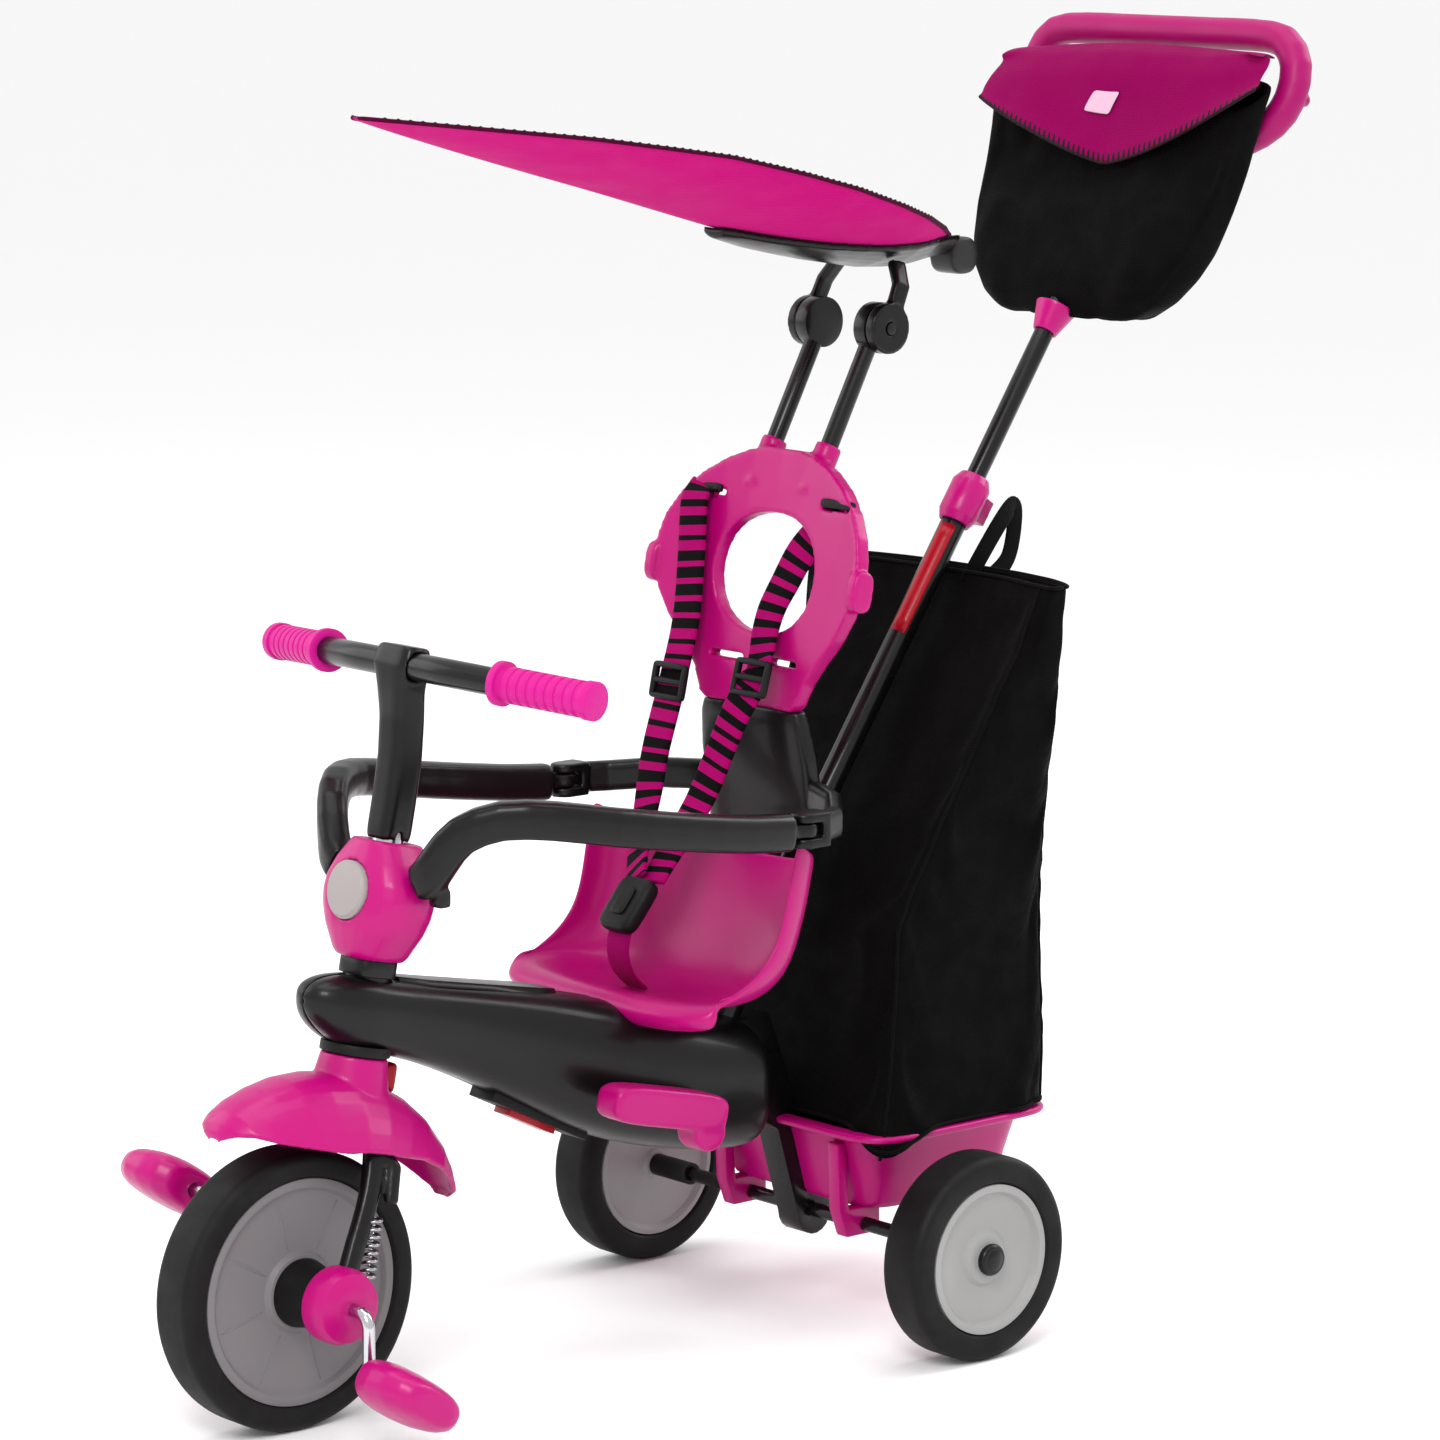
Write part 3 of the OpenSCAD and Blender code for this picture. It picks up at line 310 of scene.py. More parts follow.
PINK = surface("pink_plastic", (0.40, 0.0, 0.138), 0.36, coat=0.12, vary=0.06)
PINK_DARK = surface("handle_pink", (0.30, 0.0, 0.10), 0.45, vary=0.08, coat=0.03)
GRIP = surface("grip_rubber", (0.50, 0.004, 0.21), 0.5, grain=(500.0, 0.2), vary=0.08)
BLACK = surface("black_plastic", (0.0030, 0.0026, 0.0025), 0.34, coat=0.12, grain=(1100.0, 0.10), vary=0.2)
SATIN = surface("satin_black_plastic", (0.004, 0.0036, 0.0034), 0.5, grain=(1200.0, 0.15), vary=0.2)
PAINT = surface("black_paint", (0.003, 0.0027, 0.0026), 0.3, coat=0.2, vary=0.15, scuff=0.002)
CHROME = surface("chrome", (0.52, 0.52, 0.54), 0.16, metal=1.0, vary=0.04, mottle=30.0)
STEEL = surface("spring_steel", (0.34, 0.34, 0.35), 0.25, metal=1.0, vary=0.1, mottle=60.0)
GREY = surface("grey_plastic", (0.160, 0.150, 0.157), 0.45, vary=0.2, mottle=6.0, grain=(1000.0, 0.1))
GREY_PALE = surface("rear_grey_plastic", (0.285, 0.282, 0.280), 0.45, vary=0.14, mottle=8.0,
                    grain=(1000.0, 0.1))
CLIP = surface("clip_grey", (0.022, 0.021, 0.022), 0.4, coat=0.1)
BADGE = surface("badge_grey", (0.30, 0.27, 0.265), 0.4, vary=0.08)
RED = surface("red_plastic", (0.30, 0.0, 0.008), 0.35, coat=0.12)
TYRE = surface("tyre_rubber", (0.0030, 0.0026, 0.0028), 0.62, grain=(700.0, 0.25), vary=0.25, scuff=0.003)
CANOPY = surface("canopy_cloth", (0.46, 0.0, 0.152), 0.8, sheen=0.02, weave=180.0, grain=(0, 0.35), vary=0.07)
CLOTH = surface("black_cloth", (0.0022, 0.0019, 0.0020), 0.78, sheen=0.01, weave=150.0, grain=(0, 0.5),
                vary=0.3, mottle=14.0)
FLAP = surface("flap_cloth", (0.185, 0.0, 0.060), 0.8, sheen=0.02, weave=150.0, grain=(0, 0.4), vary=0.08)
STRIPE = surface("strap_pink", (0.30, 0.0, 0.10), 0.75, sheen=0.02, weave=220.0, grain=(0, 0.4))
WEBBING = surface("strap_black", (0.003, 0.0027, 0.0027), 0.75, sheen=0.02, weave=220.0, grain=(0, 0.4))
HEM = surface("hem_cloth", (0.06, 0.0, 0.02), 0.8, sheen=0.02, weave=180.0, grain=(0, 0.35))
THREAD = surface("dark_thread", (0.010, 0.001, 0.004), 0.75)
LABEL = surface("white_label", (0.55, 0.36, 0.46), 0.7, vary=0.04, weave=240.0, grain=(0, 0.2))

PLAIN = {
    "front_rims": GREY, "rear_rim_left": GREY_PALE, "rear_rim_right": GREY_PALE, "front_hub": SATIN,
    "crank_axle": CHROME, "hub_covers": PINK, "footrest_rod": CHROME, "steerer_tube": CHROME,
    "handlebar": PAINT, "grips": GRIP, "head_tube": PAINT, "head_bushes": SATIN, "top_cover": BLACK,
    "main_tube": PAINT, "column": BLACK, "hub_badge": BADGE, "canopy_rods": PAINT, "rear_frame": PAINT,
    "rear_axle": PAINT,
    "axle_sleeves": SATIN, "front_tyre": TYRE, "rear_tyre_left": TYRE, "rear_tyre_right": TYRE,
    "pole_lower": PAINT, "pole_clamp": PINK, "clamp_button": RED, "pole_upper": PAINT, "pole_collar": PINK,
    "handle_button": PINK_DARK, "latch_housing": SATIN, "footrest_latch": RED,
}
MOULDED = {
    "pedal_left": PINK, "pedal_right": PINK, "fork": BLACK, "stem": BLACK, "steering_hub": PINK,
    "hoop_arm_left": BLACK, "hoop_arm_right": BLACK, "hoop_brackets": BLACK, "backrest_lower": BLACK,
    "backrest": PINK, "canopy_arms": BLACK, "canopy_holder": BLACK, "canopy_clip": CLIP, "handle": PINK_DARK,
    "footrest": PINK, "front_fender": PINK,
}
# Voxel size and rounds of smoothing for the thinner ones
THIN = {"front_fender": (1.15, 16), "canopy_arms": (1.4, 6), "canopy_holder": (1.6, 10),
        "backrest": (1.7, 12), "hoop_brackets": (1.5, 4), "steering_hub": (1.6, 10)}
for node, material in PLAIN.items():
    polish(node, material)
for node, material in MOULDED.items():
    voxel, rounds = THIN.get(node, (1.8, 14))
    mould(node, material, voxel, rounds)


# ---------- body ----------

# Each row: y, half width, top, bottom
BODY_ROWS = [(-412.6, 0.2, 337, 335), (-412, 5, 341, 331), (-409, 13, 346, 324), (-400, 21, 350, 312),
             (-385, 26, 351, 300), (-365, 29, 349, 293), (-345, 29, 344, 287), (-310, 29, 336, 276),
             (-260, 32, 326, 254), (-200, 42, 315, 222), (-150, 54, 304, 195), (-100, 62, 290, 176),
             (-40, 66, 276, 163), (5, 65, 266, 158), (14, 63, 263, 160), (18, 54, 258, 166),
             (19.5, 30, 244, 180), (19.6, 6, 218, 206)]


def body_half(side):
    """One half of the body's skin, with a hairline gap between it and the other half."""
    rows = []
    for y, half, top, low in BODY_ROWS:
        mid, tall = (top + low) / 2, (top - low) / 2
        ring = []
        for i in range(17):
            t = math.radians(90 - 180 * i / 16)
            x = side * (0.35 + half * abs(math.cos(t)) ** (2 / 2.8))
            ring.append((x, y, mid + tall * power(math.sin(t), 2.8)))
        rows.append(ring)
    return reversed_faces(grid(rows)) if side > 0 else grid(rows)


for side, node in ((1, "body_shell_left"), (-1, "body_shell_right")):
    stands_for(node.replace("_shell", "_cover"), body_half(side), node, BLACK, thick=2.5)


# Steering lock button, in the frame of the steering axis
button = [[(x, y, z - 16.6) for x, z in oval(8 - q, 10 - q, 6, 24)]
          for y, q in ((21, 0), (33, 0), (33.6, -2), (36.8, -2), (37.8, -1), (38.2, 2))]
stands_for("lock_button", tilted(skin(button), HEAD, RAKE), "steering_button", RED, subdivide=1)


# ---------- seat ----------

# Each row: y and z on the middle line, then x, y and z of the rim
SEAT_ROWS = [(-112, 283, 98, -90, 288), (-121, 287, 117, -97, 290), (-123, 294, 127, -100, 294),
             (-118, 300, 127, -98, 302), (-106, 301, 127, -90, 307), (-88, 295, 128, -80, 312),
             (-62, 289, 128, -64, 320), (-34, 287, 129, -48, 331), (-12, 291, 129, -37, 345),
             (4, 302, 130, -30, 360), (17, 322, 130, -26, 378), (27, 350, 131, -22, 398),
             (34, 380, 131, -18, 416), (38, 402, 131, -14, 430)]
RIM_SHARE = 129 / 131   # brings the rows' half widths in to the seat's own 129


def seat_shape():
    """The scoop: each row runs from rim to rim through its lowest point on the middle line."""
    rows = []
    for y, z, x_rim, y_rim, z_rim in SEAT_ROWS:
        row = []
        for i in range(-12, 13):
            s = i / 12
            a = power(math.sin(math.radians(90 * abs(s))), 2.7)
            lift = 1 - power(math.cos(math.radians(90 * abs(s))), 2.4)
            row.append((math.copysign(x_rim * RIM_SHARE * a, s), y + (y_rim - y) * lift,
                        z + (z_rim - z) * lift))
        rows.append(row)
    return grid(rows)


stands_for("seat_scoop", reversed_faces(seat_shape()), "seat", PINK, thick=3.5)


# ---------- basket and bags ----------

SLACK = 0.025           # share by which the cloth is longer than its shape
SETTLE_FRAMES = 26


def settle(rings, firm, most):
    """How far each point of a cloth tube moves when the cloth hangs from its first and last rings.

    firm gives the hold, from 0 to 1, on point i of a ring; no point moves further than most."""
    still = [[Vector((0, 0, 0)) for _ in ring] for ring in rings]
    n = len(rings[0])
    mesh = bpy.data.meshes.new("loose_cloth")
    verts, faces = skin(rings, caps=False)
    mesh.from_pydata([Vector(v) * MM for v in verts], [], faces)
    obj = bpy.data.objects.new("loose_cloth", mesh)
    bpy.context.scene.collection.objects.link(obj)
    held = obj.vertex_groups.new(name="held")
    for j in range(len(rings)):
        seam = min(j, len(rings) - 1 - j)
        for i in range(n):
            held.add([j * n + i], 1.0 if seam == 0 else max(firm(i), 0.5 if seam == 1 else 0.0), "REPLACE")
    cloth = obj.modifiers.new("Cloth", "CLOTH").settings
    cloth.vertex_group_mass = "held"
    cloth.quality = 5
    cloth.mass = 0.2
    cloth.tension_stiffness = cloth.compression_stiffness = 8
    cloth.bending_stiffness = 0.4
    cloth.shrink_min = -SLACK
    scene = bpy.context.scene
    for frame_number in range(1, SETTLE_FRAMES + 1):
        scene.frame_set(frame_number)
    settled = obj.evaluated_get(bpy.context.evaluated_depsgraph_get()).data
    for j in range(len(rings)):
        for i in range(n):
            move = settled.vertices[j * n + i].co / MM - Vector(verts[j * n + i])
            still[j][i] = move * min(1, most / max(move.length, 1e-6))
    bpy.data.objects.remove(obj)
    scene.frame_set(1)
    return still


def tub_ring(half_x, half_y, z, y=176.0):
    """A level outline of the basket, centred on the middle line at y."""
    return [(x, y + v, z) for x, v in oval(half_x, half_y, 7, 40)]


BASKET_RINGS = [tub_ring(60, 50, 98, 180), tub_ring(94, 76, 98, 180), tub_ring(96, 78, 101, 180),
                tub_ring(105, 85, 132, 178), tub_ring(114, 92, 162), tub_ring(116, 94, 164.5),
                tub_ring(133, 106.5, 164.8), tub_ring(135, 108, 167), tub_ring(135, 108, 170.5),
                tub_ring(133.5, 106.5, 172), tub_ring(115, 93, 172), tub_ring(113, 91, 170),
                tub_ring(93, 75, 103, 180), tub_ring(91, 73, 101, 180), tub_ring(58, 48, 101, 180)]
# Side view of one hook, y and z
HOOK = [(78, 158), (88, 158), (92, 100), (127, 100), (127, 76), (90, 76), (81, 100)]
hooks = []
for side in (1, -1):
    rings = [[(x, y, z) for y, z in HOOK] for x in (64 * side, 78 * side)]
    hooks.append(skin(rings))
stands_for("basket_tub", skin(BASKET_RINGS), "basket", PINK, subdivide=1)
piece("basket_hooks", both(*hooks), "frame", "pink_plastic", PINK, subdivide=0, bevel=2, sharp=30)

# Each row: z, half width, middle y, half depth, how far the sides come forward
BAG_ROWS = [(172.8, 133, 182, 97, 0), (178, 136, 183, 98.5, 0), (200, 136, 184, 98.5, 0),
            (230, 135, 186, 98, 0), (260, 134, 187, 97, 0), (300, 133, 188, 95.5, 0),
            (340, 132, 189, 94, 0), (370, 133, 197, 85, 1), (400, 134, 208, 75, 3),
            (431, 135, 217, 66, 4), (465, 138, 230, 55, 7), (500, 142, 242, 45, 10),
            (530, 144, 253, 36, 14), (560, 147, 264, 26, 18), (590, 149, 275, 20, 24),
            (615, 151, 284, 15, 28)]
BAG_POINTS = 72         # points round one ring of the bag
QUARTER = BAG_POINTS // 4
BAG_FOLDS = 2.2         # depth of the folds
DROOP = 60              # reach of the drooping bottom corner, front left, over the basket's rim


def bag_ring(row, inset=1.5, lift=0):
    """One level of a sewn bag: a boxy ring with soft vertical folds that fade towards the seams."""
    z, half_x, mid, half_y, wrap = row
    ring = []
    for x, v in oval(half_x - inset, half_y - inset, 6, BAG_POINTS):
        edge = max(abs(x) / half_x, abs(v) / max(half_y, 1))
        flat = 1 - min(edge, 1) ** 8
        wave = BAG_FOLDS * (math.sin(x * 0.055 + z * 0.012) + 0.6 * math.sin(x * 0.11 - z * 0.03 + 1.4)
                        + 0.5 * math.sin(v * 0.08 + z * 0.02))
        sag = 1 - 0.02 * math.sin(math.pi * (z - 170) / 450) * (1 - flat)
        corner = math.hypot(x - half_x, v + half_y)
        droop = max(1 - (z - 172) / DROOP, 0) ** 2 * max(1 - corner / DROOP, 0) ** 1.5
        ring.append((x * sag + 12 * droop, mid + v - wrap * (x / half_x) ** 2 - 24 * droop + wave
                     * math.copysign(1, v) * min(half_y / 60, 1) * (0.35 + 0.65 * (1 - abs(x / half_x) ** 6)),
                     z + lift - 40 * droop))
    return ring


def bag_firm(i):
    """The hold on point i of a ring of the bag: its four piped corners keep their line."""
    return 0.7 if abs(i % QUARTER - QUARTER / 2 + 0.5) < 2 else 0.0


levels = between(BAG_ROWS, 3)
bag_moves = settle([bag_ring(r) for r in levels], bag_firm, most=7.0)
outside = moved([bag_ring(r) for r in levels], bag_moves)
inside = moved([bag_ring(r, 4.0, 1.5 if i == 0 else 0) for i, r in enumerate(levels)], bag_moves)
stands_for("storage_bag_shell", skin(outside + inside[::-1]), "storage_bag", CLOTH, subdivide=1)

# Piping up the four corners of the bag and round its bottom and top
PIPE = oval(1.8, 1.8, 2, 8)


def corner_line(quarter):
    """Line up a corner of the bag: the outermost point of each ring in that quarter turn."""
    at = quarter * QUARTER + QUARTER // 2 - 1
    line = [(ring[at] + ring[at + 1]) / 2 for ring in outside]
    middle = [Vector((0, r[2], r[0])) for r in levels]
    return [p + (p - m).normalized() * 0.6 for p, m in zip(line, middle)]


pipes = [skin(swept(corner_line(quarter), PIPE, (1, 0.3, 0))) for quarter in range(4)]
for level in (3, len(levels) - 1):
    ring = moved([bag_ring(levels[level], 0.8)], [bag_moves[level]])[0]
    ring.append(ring[0])
    pipes.append(skin(swept(ring, PIPE, (0, 0, 1))))
piece("bag_piping", both(*pipes), "frame", "black_fabric", WEBBING, subdivide=1)

strip = curve([(24, 268, 602), (26, 306, 652), (18, 332, 664), (14, 330, 622), (16, 306, 604)], 5)
stands_for("bag_strap_loop", skin(swept(strip, oval(9, 1.2, 4, 12), (1, 0, 0))), "bag_loop", WEBBING,
           subdivide=1)

# Each row: z, half width, middle y, half depth, how much higher the rear is
POUCH_ROWS = [(822, 58, 418, 18, 0), (828, 82, 419, 27, 0), (842, 104, 421, 33, 0), (862, 122, 427, 37, 0),
              (884, 134, 436, 38, 0), (915, 142, 449, 37, 0), (950, 149, 467, 32, 4), (985, 154, 479, 31, 12),
              (1012, 155, 483, 31, 16)]


BAR = (484, 958)        # y and z of the middle of the handle's lower bar
BAR_HALF = 143          # how far out that bar runs each side


def behind_pouch(x, z):
    """How far back the pouch may reach: it stops short of the handle's lower bar, which bows away from it."""
    bow = min(abs(x) / BAR_HALF, 1)
    return BAR[0] + 24 * bow ** 2.6 - 17 + max(abs(z - BAR[1] - 30 * bow ** 3) - 15, 0)


def pouch_ring(row, inset=0.5, lift=0):
    """One level of the pouch: a rounded ring with soft folds in its front."""
    z, half_x, mid, half_y, rise = row
    ring = []
    for x, v in oval(half_x - inset, half_y - inset, 3.6, 64):
        front = max(-v / half_y, 0)
        wave = 1.6 * front * (math.sin(x * 0.07 + z * 0.02) + 0.7 * math.sin(x * 0.13 - z * 0.05))
        height = z + lift + rise * v / half_y
        ring.append((x, min(mid + v + wave, behind_pouch(x, height) - inset), height))
    return ring


rows = between(POUCH_ROWS, 4)
moves = settle([pouch_ring(r) for r in rows], lambda i: 0.0, most=5.0)
outer = moved([pouch_ring(r) for r in rows], moves)
inner = moved([pouch_ring(r, 3.0, 1.5 if i == 0 else 0) for i, r in enumerate(rows)], moves)
stands_for("pouch_shell", skin(outer + inner[::-1]), "pouch", CLOTH, subdivide=1)

# Each row of the flap, from its rear edge to its point: y, z in the middle, z at the sides
FLAP_ROWS = [(516, 1047, 1041), (494, 1050, 1043), (473, 1043, 1038), (459, 1026, 1027), (451, 999, 1018),
             (443, 971, 1013), (434.5, 951, 1011)]


def flap_point(k, s, lift=1.2):
    """k counts rows, in between ones too; s runs from -1 at the right edge to 1 at the left.

    The flap lies a little turned and shifted on the pouch, the more so the further over it is."""
    i = min(int(k), len(FLAP_ROWS) - 2)
    y, z_mid, z_side = [p + (r - p) * (k - i) for p, r in zip(FLAP_ROWS[i], FLAP_ROWS[i + 1])]
    side, corner = abs(s) ** 1.35, abs(s) ** 5
    over = min(k / 3, 1)
    return Vector(((147 + 9 * over) * s + 8 * over + 5 * max(k - 4, 0),
                   y + 12 * corner * (1 if k > 1.5 else -0.6) + 10 * s * over - lift,
                   z_mid + (z_side + 9 * s * over - z_mid) * side + lift * 0.6))


flap_rows = [[flap_point(k / 2, i / 14) for i in range(-14, 15)] for k in range(13)]
flap = stands_for("pouch_flap_cloth", grid(flap_rows), "pouch_flap", FLAP, thick=2.0)


def stitch(at, along, out, length, width):
    """One stitch: a short rounded bar lying on the cloth."""
    path = [at - along * length / 2 + out * 0.2, at + out * 0.9, at + along * length / 2 + out * 0.2]
    return skin(swept(path, oval(width / 2, width / 2, 2, 6), out, scale=[0.7, 1, 0.7]))


marks = []
for i in range(-27, 28):
    s = i / 27.5
    edge, back = flap_point(6, s), flap_point(5.1, s)
    along = (back - edge).normalized()
    marks.append(stitch(edge + along * 4 + Vector((0, -1.2, 0)), along, Vector((0, -1, 0.1)), 12.0, 3.4))
edge_line = [flap_point(6, i / 28) + Vector((0, -0.8, 0)) for i in range(-28, 29)]
marks.append(skin(swept(edge_line, oval(1.7, 1.7, 2, 6), (0, -1, 0))))
for side in (1, -1):
    for k in range(5):
        edge, back = flap_point(5.2 - k, side), flap_point(5.2 - k, side * 0.93)
        marks.append(stitch(edge + (back - edge) * 0.5, (back - edge).normalized(), Vector((0, -0.7, 0.7)),
                            9.0, 2.0))
piece("flap_stitching", both(*marks), "push_handle", "black_fabric", THREAD, subdivide=1)

# A blank label, set slanting
label = [[flap_point(3.62 + 0.24 * j, (4.2 * i - 18 - 3 * j) / 156, 4.2) for i in range(8)] for j in range(4)]
piece("pouch_label", grid(label), "push_handle", "flap_fabric", LABEL, subdivide=1, thick=0.6)


# ---------- canopy ----------

# Each row: y, then the height on the middle line, the share of the full half width, or the edge's height
SPINE = [(-359, 1015), (-290, 996), (-216, 976), (-96, 945), (-34, 928), (40, 908), (93, 897), (159, 887),
         (204, 885), (256, 893)]
WIDTH = [(-359, 0.012), (-340, 0.17), (-315, 0.33), (-270, 0.56), (-213, 0.77), (-160, 0.91), (-101, 0.985),
         (-30, 1), (35, 0.96), (100, 0.84), (150, 0.68), (202, 0.43), (235, 0.22), (256, 0.1)]
EDGE = [(-359, 1015), (-315, 1010), (-213, 999), (-101, 983), (-30, 968), (35, 953), (120, 931), (202, 910),
        (256, 897)]
CANOPY_HALF = 146       # the canopy's full half width


def canopy_point(y, s, up=0.0):
    """A point of the sheet: s runs from -1 to 1 across it."""
    low = lookup(SPINE, y)
    return Vector((lookup(WIDTH, y) * CANOPY_HALF * s, y, low + (lookup(EDGE, y) - low) * abs(s) ** 1.7 + up))


CANOPY_Y = [-359, -352, -340, -325, -310, -288, -265, -240, -213, -182, -150, -120, -90, -60, -30, 3, 35, 60,
            85, 108, 130, 150, 170, 188, 205, 220, 235, 247, 256]
sheet = grid([[canopy_point(y, i / 12) for i in range(-12, 13)] for y in CANOPY_Y])
canopy = stands_for("canopy_cloth", sheet, "canopy_sheet", CANOPY, thick=2.0, subdivide=1)

# Bound hem with its dark stitches along both edges
hem, dashes = [], []
for side in (1, -1):
    line = [canopy_point(-359 + 615 * i / 90, side * 0.995, -1.0) for i in range(91)]
    hem.append(skin(swept(line, oval(2.4, 1.8, 3, 8), (0, 0, 1))))
    for i in range(2, 89):
        along = (line[i + 1] - line[i - 1]).normalized()
        dashes.append(stitch(line[i] + Vector((side * 1.6, 0, 0.6)), along,
                             Vector((side * 0.5, 0, 1)).normalized(), 4.0, 2.2))
piece("canopy_hem", both(*hem), "canopy", "canopy_fabric", HEM, subdivide=1)
piece("canopy_stitching", both(*dashes), "canopy", "black_fabric", THREAD, subdivide=0)


# ---------- harness ----------

# The far strap lies over the backrest; the near one comes from behind it, through its hole
FAR = [(-82, 72, 692), (-82, 58, 684), (-77, 50, 640), (-70, 38, 585), (-66, 20, 535), (-66, 2, 480),
       (-62, -10, 440), (-47, -32, 404), (-28, -52, 380)]
NEAR = [(74, 79, 692), (66, 90, 690), (53, 92, 679), (40, 86, 664), (29, 75, 645), (22, 65, 622),
        (19, 54, 602), (19, 46.5, 583), (22, 40, 566), (26, 29, 548), (14, 19, 518), (6, 14, 495),
        (-8, 2, 448), (-12, -26, 408), (-10, -50, 382)]
BAND = 7.2              # length of one stripe of the straps


def striped_strap(name, points, half, replaces=()):
    """A webbing strap whose cross stripes are alternate bands of pink and black cloth."""
    path = curve(points, 12)
    section = oval(half, 2.3, 4, 14)
    rings = swept(path, section, (0, 1, 0))
    obj = piece(name, skin(rings), "frame", "harness_webbing", STRIPE, subdivide=0)
    obj.data.materials.append(WEBBING)
    travelled, n = 0.0, len(section)
    for j in range(len(rings) - 1):
        travelled += (path[j + 1] - path[j]).length
        for i in range(n):
            obj.data.polygons[j * n + i].material_index = int(travelled / BAND) % 2
    if replaces:
        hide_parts(*replaces)


striped_strap("shoulder_strap_right", FAR, 16.5, ("harness_straps",))
striped_strap("shoulder_strap_left", NEAR, 15.5)
crotch = curve([(-18, -74, 352), (-18, -80, 330), (-18, -74, 310), (-18, -58, 294)], 5)
crotch_strap = skin(swept(crotch, oval(14, 1.8, 4, 12), (0, 1, 0.2)))
piece("crotch_strap", crotch_strap, "frame", "harness_webbing", STRIPE, subdivide=1)


def block(half_x, half_y, half_z, centre, turn):
    """A small rounded slab, turned by so many degrees about X."""
    rings = [[(x, y, z) for x, y in oval(half_x - q, half_y - q, 5, 24)]
             for z, q in ((-half_z, min(half_z, 2) * 0.8), (-half_z * 0.6, 0), (half_z * 0.6, 0),
                          (half_z, min(half_z, 2) * 0.8))]
    return tilted(skin(rings), centre, math.radians(-turn))


def slide(centre, turn):
    """A ladder slide: an open frame with a bar across, round which the webbing is threaded."""
    parts = [block(20, 2.8, 3.4, (0, y, 0), 0) for y in (-13, 0, 13)]
    parts += [block(2.8, 15, 3.4, (x, 0, 0), 0) for x in (-18, 18)]
    return tilted(both(*parts), centre, math.radians(-turn))


stands_for("harness_hardware", both(
    block(20, 25, 7.5, (-18, -68, 364), 50), block(8, 13, 2.0, (-18, -74.2, 369.2), 50),
    slide((-66, 16, 535), 78), slide((26, 25, 548), 74),
    *[block(20, 4, 3, (x, 70.5, 692), 80) for x in (-82, 80)]), "harness_buckle", SATIN, subdivide=1)


# ---------- rear hub caps and fork springs ----------

def turned(profile, centre, side, n=48):
    """Surface of a profile of (radius, distance outwards) turned about the X axis through centre."""
    rings = []
    for r, x in profile:
        turns = [2 * math.pi * i / n for i in range(n)]
        ring = [(centre[0] + side * x, centre[1] + r * math.cos(t), centre[2] + r * math.sin(t))
                for t in turns]
        rings.append(ring if side > 0 else ring[::-1])
    return skin(rings)


# Radius and distance outwards along the cap's outline
CAP = [(12.8, 15.5), (13.6, 20.5), (12.9, 23.2), (10.2, 25.0), (9.2, 24.4), (8.6, 25.0), (5.0, 26.2),
       (0.6, 26.5)]
for side, name in ((1, "left"), (-1, "right")):
    centre = (side * REAR_HUB[0], *REAR_HUB[1:])
    piece(f"rear_hub_cap_{name}", turned(CAP, centre, side), f"{name}_rear_wheel", "black_plastic", BLACK,
          subdivide=1)

SPRING_TOP, SPRING_FOOT = Vector((59, -391, 172)), Vector((63, -402, 124))
COIL_TURNS, TURN_STEPS = 8, 16
coils = []
for side in (1, -1):
    top = Vector((side * SPRING_TOP.x, SPRING_TOP.y, SPRING_TOP.z))
    foot = Vector((side * SPRING_FOOT.x, SPRING_FOOT.y, SPRING_FOOT.z))
    axis = (top - foot).normalized()
    u = axis.cross(Vector((0, 1, 0))).normalized()
    v = axis.cross(u)
    wire = []
    for i in range(COIL_TURNS * TURN_STEPS + 1):
        t = 2 * math.pi * i / TURN_STEPS
        along = (top - foot) * i / (COIL_TURNS * TURN_STEPS)
        wire.append(foot + along + 5.4 * (math.cos(t) * u + math.sin(t) * v))
    coils.append(skin(swept(wire, oval(1.5, 1.5, 2, 8), axis)))
stands_for("spring_coils", both(*coils), "fork_springs", STEEL, subdivide=0)


# Faint ribs across the front wheel's discs
ribs = []
for side in (1, -1):
    for k in range(8):
        t = math.pi * (k + 0.35) / 4
        bar = [Vector((side * 16.6, FRONT_AXLE[0] + r * math.cos(t), FRONT_AXLE[1] + r * math.sin(t)))
               for r in (35, 50, 64, 78)]
        ribs.append(skin(swept(bar, oval(1.0, 0.55, 2, 8), (1, 0, 0), scale=[0.6, 1, 1, 0.6])))
piece("front_disc_ribs", both(*ribs), "front_wheel", "grey_plastic", GREY, subdivide=1)


# ---------- marks ----------

# Plain red strip on the push pole
STRIP_RADIUS = 11.25
angles = [math.radians(a) for a in range(-15, 66, 8)]
strip = [[(STRIP_RADIUS * math.sin(a), -STRIP_RADIUS * math.cos(a), 158 + 13 * j) for a in angles]
         for j in range(9)]
piece("pole_strip", tilted(grid(strip), POLE, LEAN), "frame", "red_plastic", RED, subdivide=0, thick=0.3)


# ---------- stage ----------

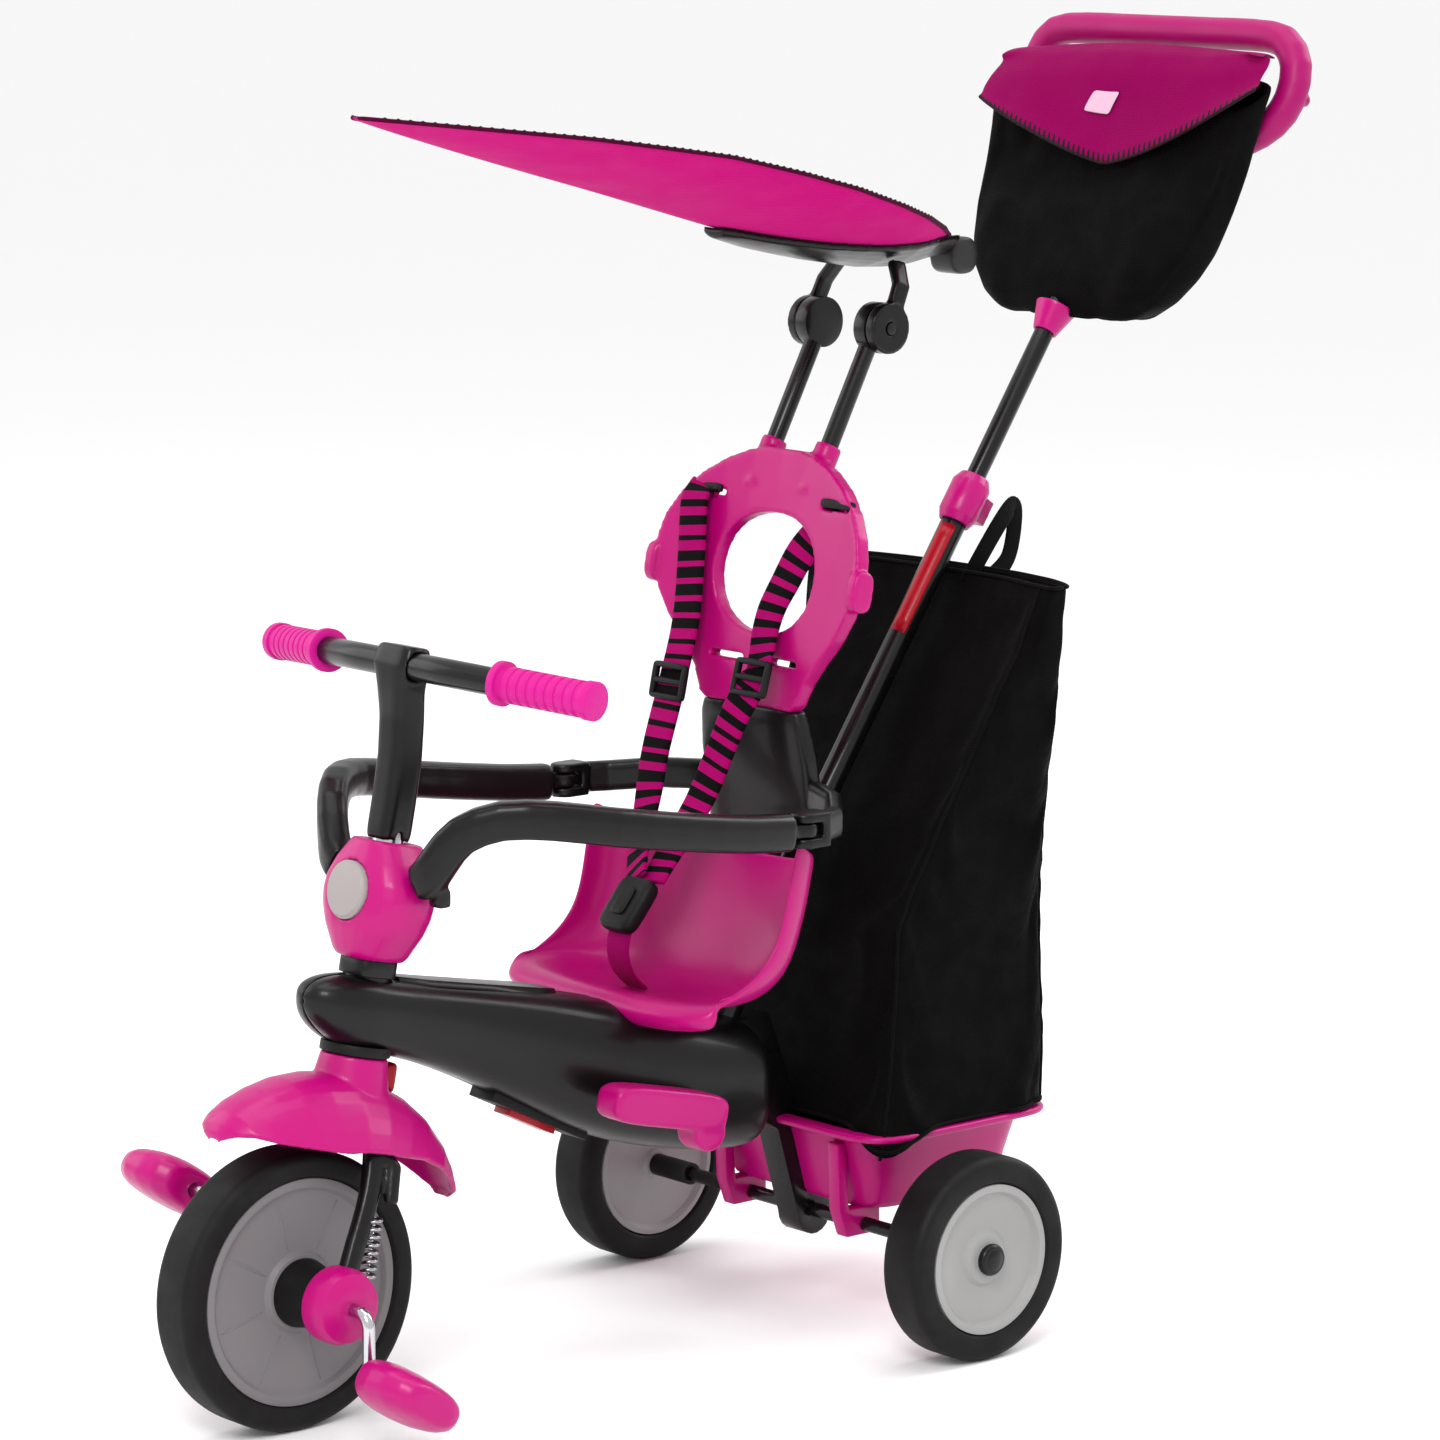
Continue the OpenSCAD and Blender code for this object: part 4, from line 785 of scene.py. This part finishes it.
def area_light(name, where, aim, watts, size):
    """A square lamp; places and size are in metres."""
    lamp = bpy.data.lights.new(name, "AREA")
    lamp.energy, lamp.size = watts, size
    obj = bpy.data.objects.new(name, lamp)
    obj.location = where
    obj.rotation_euler = (Vector(aim) - Vector(where)).to_track_quat("-Z", "Y").to_euler()
    bpy.context.scene.collection.objects.link(obj)


bpy.ops.mesh.primitive_plane_add(size=80, location=(0, 0, -0.0005))
floor = bpy.context.active_object
floor.name = "floor"
floor.data.materials.append(surface("floor_white", (0.93, 0.93, 0.93), 0.9, vary=0.005))
area_light("key", (2.2, -2.6, 3.0), (0, 0, 0.5), 90, 1.4)
area_light("fill", (-2.8, -1.8, 2.0), (0, 0, 0.5), 30, 2.4)
area_light("rim", (0.6, 3.0, 2.6), (0, 0, 0.6), 60, 2.0)
area_light("top", (0, 0, 3.6), (0, 0, 0), 50, 2.6)
world = bpy.data.worlds.new("studio")
world.use_nodes = True
world.node_tree.nodes["Background"].inputs["Color"].default_value = (1, 1, 1, 1)
world.node_tree.nodes["Background"].inputs["Strength"].default_value = 1.0
bpy.context.scene.world = world
# Keeps bright pinks saturated and blacks deep, as a plain product picture does
bpy.context.scene.view_settings.view_transform = "Standard"

CAMERA_AT = (3.2563, -2.8593, 1.2310)       # metres
CAMERA_LENS = 134.2
AIM_RIGHT, AIM_UP = 0.0308, 0.0091          # how far the view's centre lies off the straight line back
azimuth, elevation = math.radians(50.36), math.radians(9.94)
back = Vector((math.sin(azimuth) * math.cos(elevation), -math.cos(azimuth) * math.cos(elevation),
               math.sin(elevation)))
right = Vector((math.cos(azimuth), math.sin(azimuth), 0))
up = back.cross(right)
aim = (right * AIM_RIGHT + up * AIM_UP - back).normalized()
camera = bpy.data.cameras.new("camera")
camera.lens = CAMERA_LENS
camera.clip_end = 50
eye = bpy.data.objects.new("camera", camera)
across = (right + aim * -right.dot(aim)).normalized()
turn = Matrix((across, aim.cross(across) * -1, aim * -1)).transposed()
eye.matrix_world = Matrix.Translation(CAMERA_AT) @ turn.to_4x4()
bpy.context.scene.collection.objects.link(eye)
bpy.context.scene.camera = eye
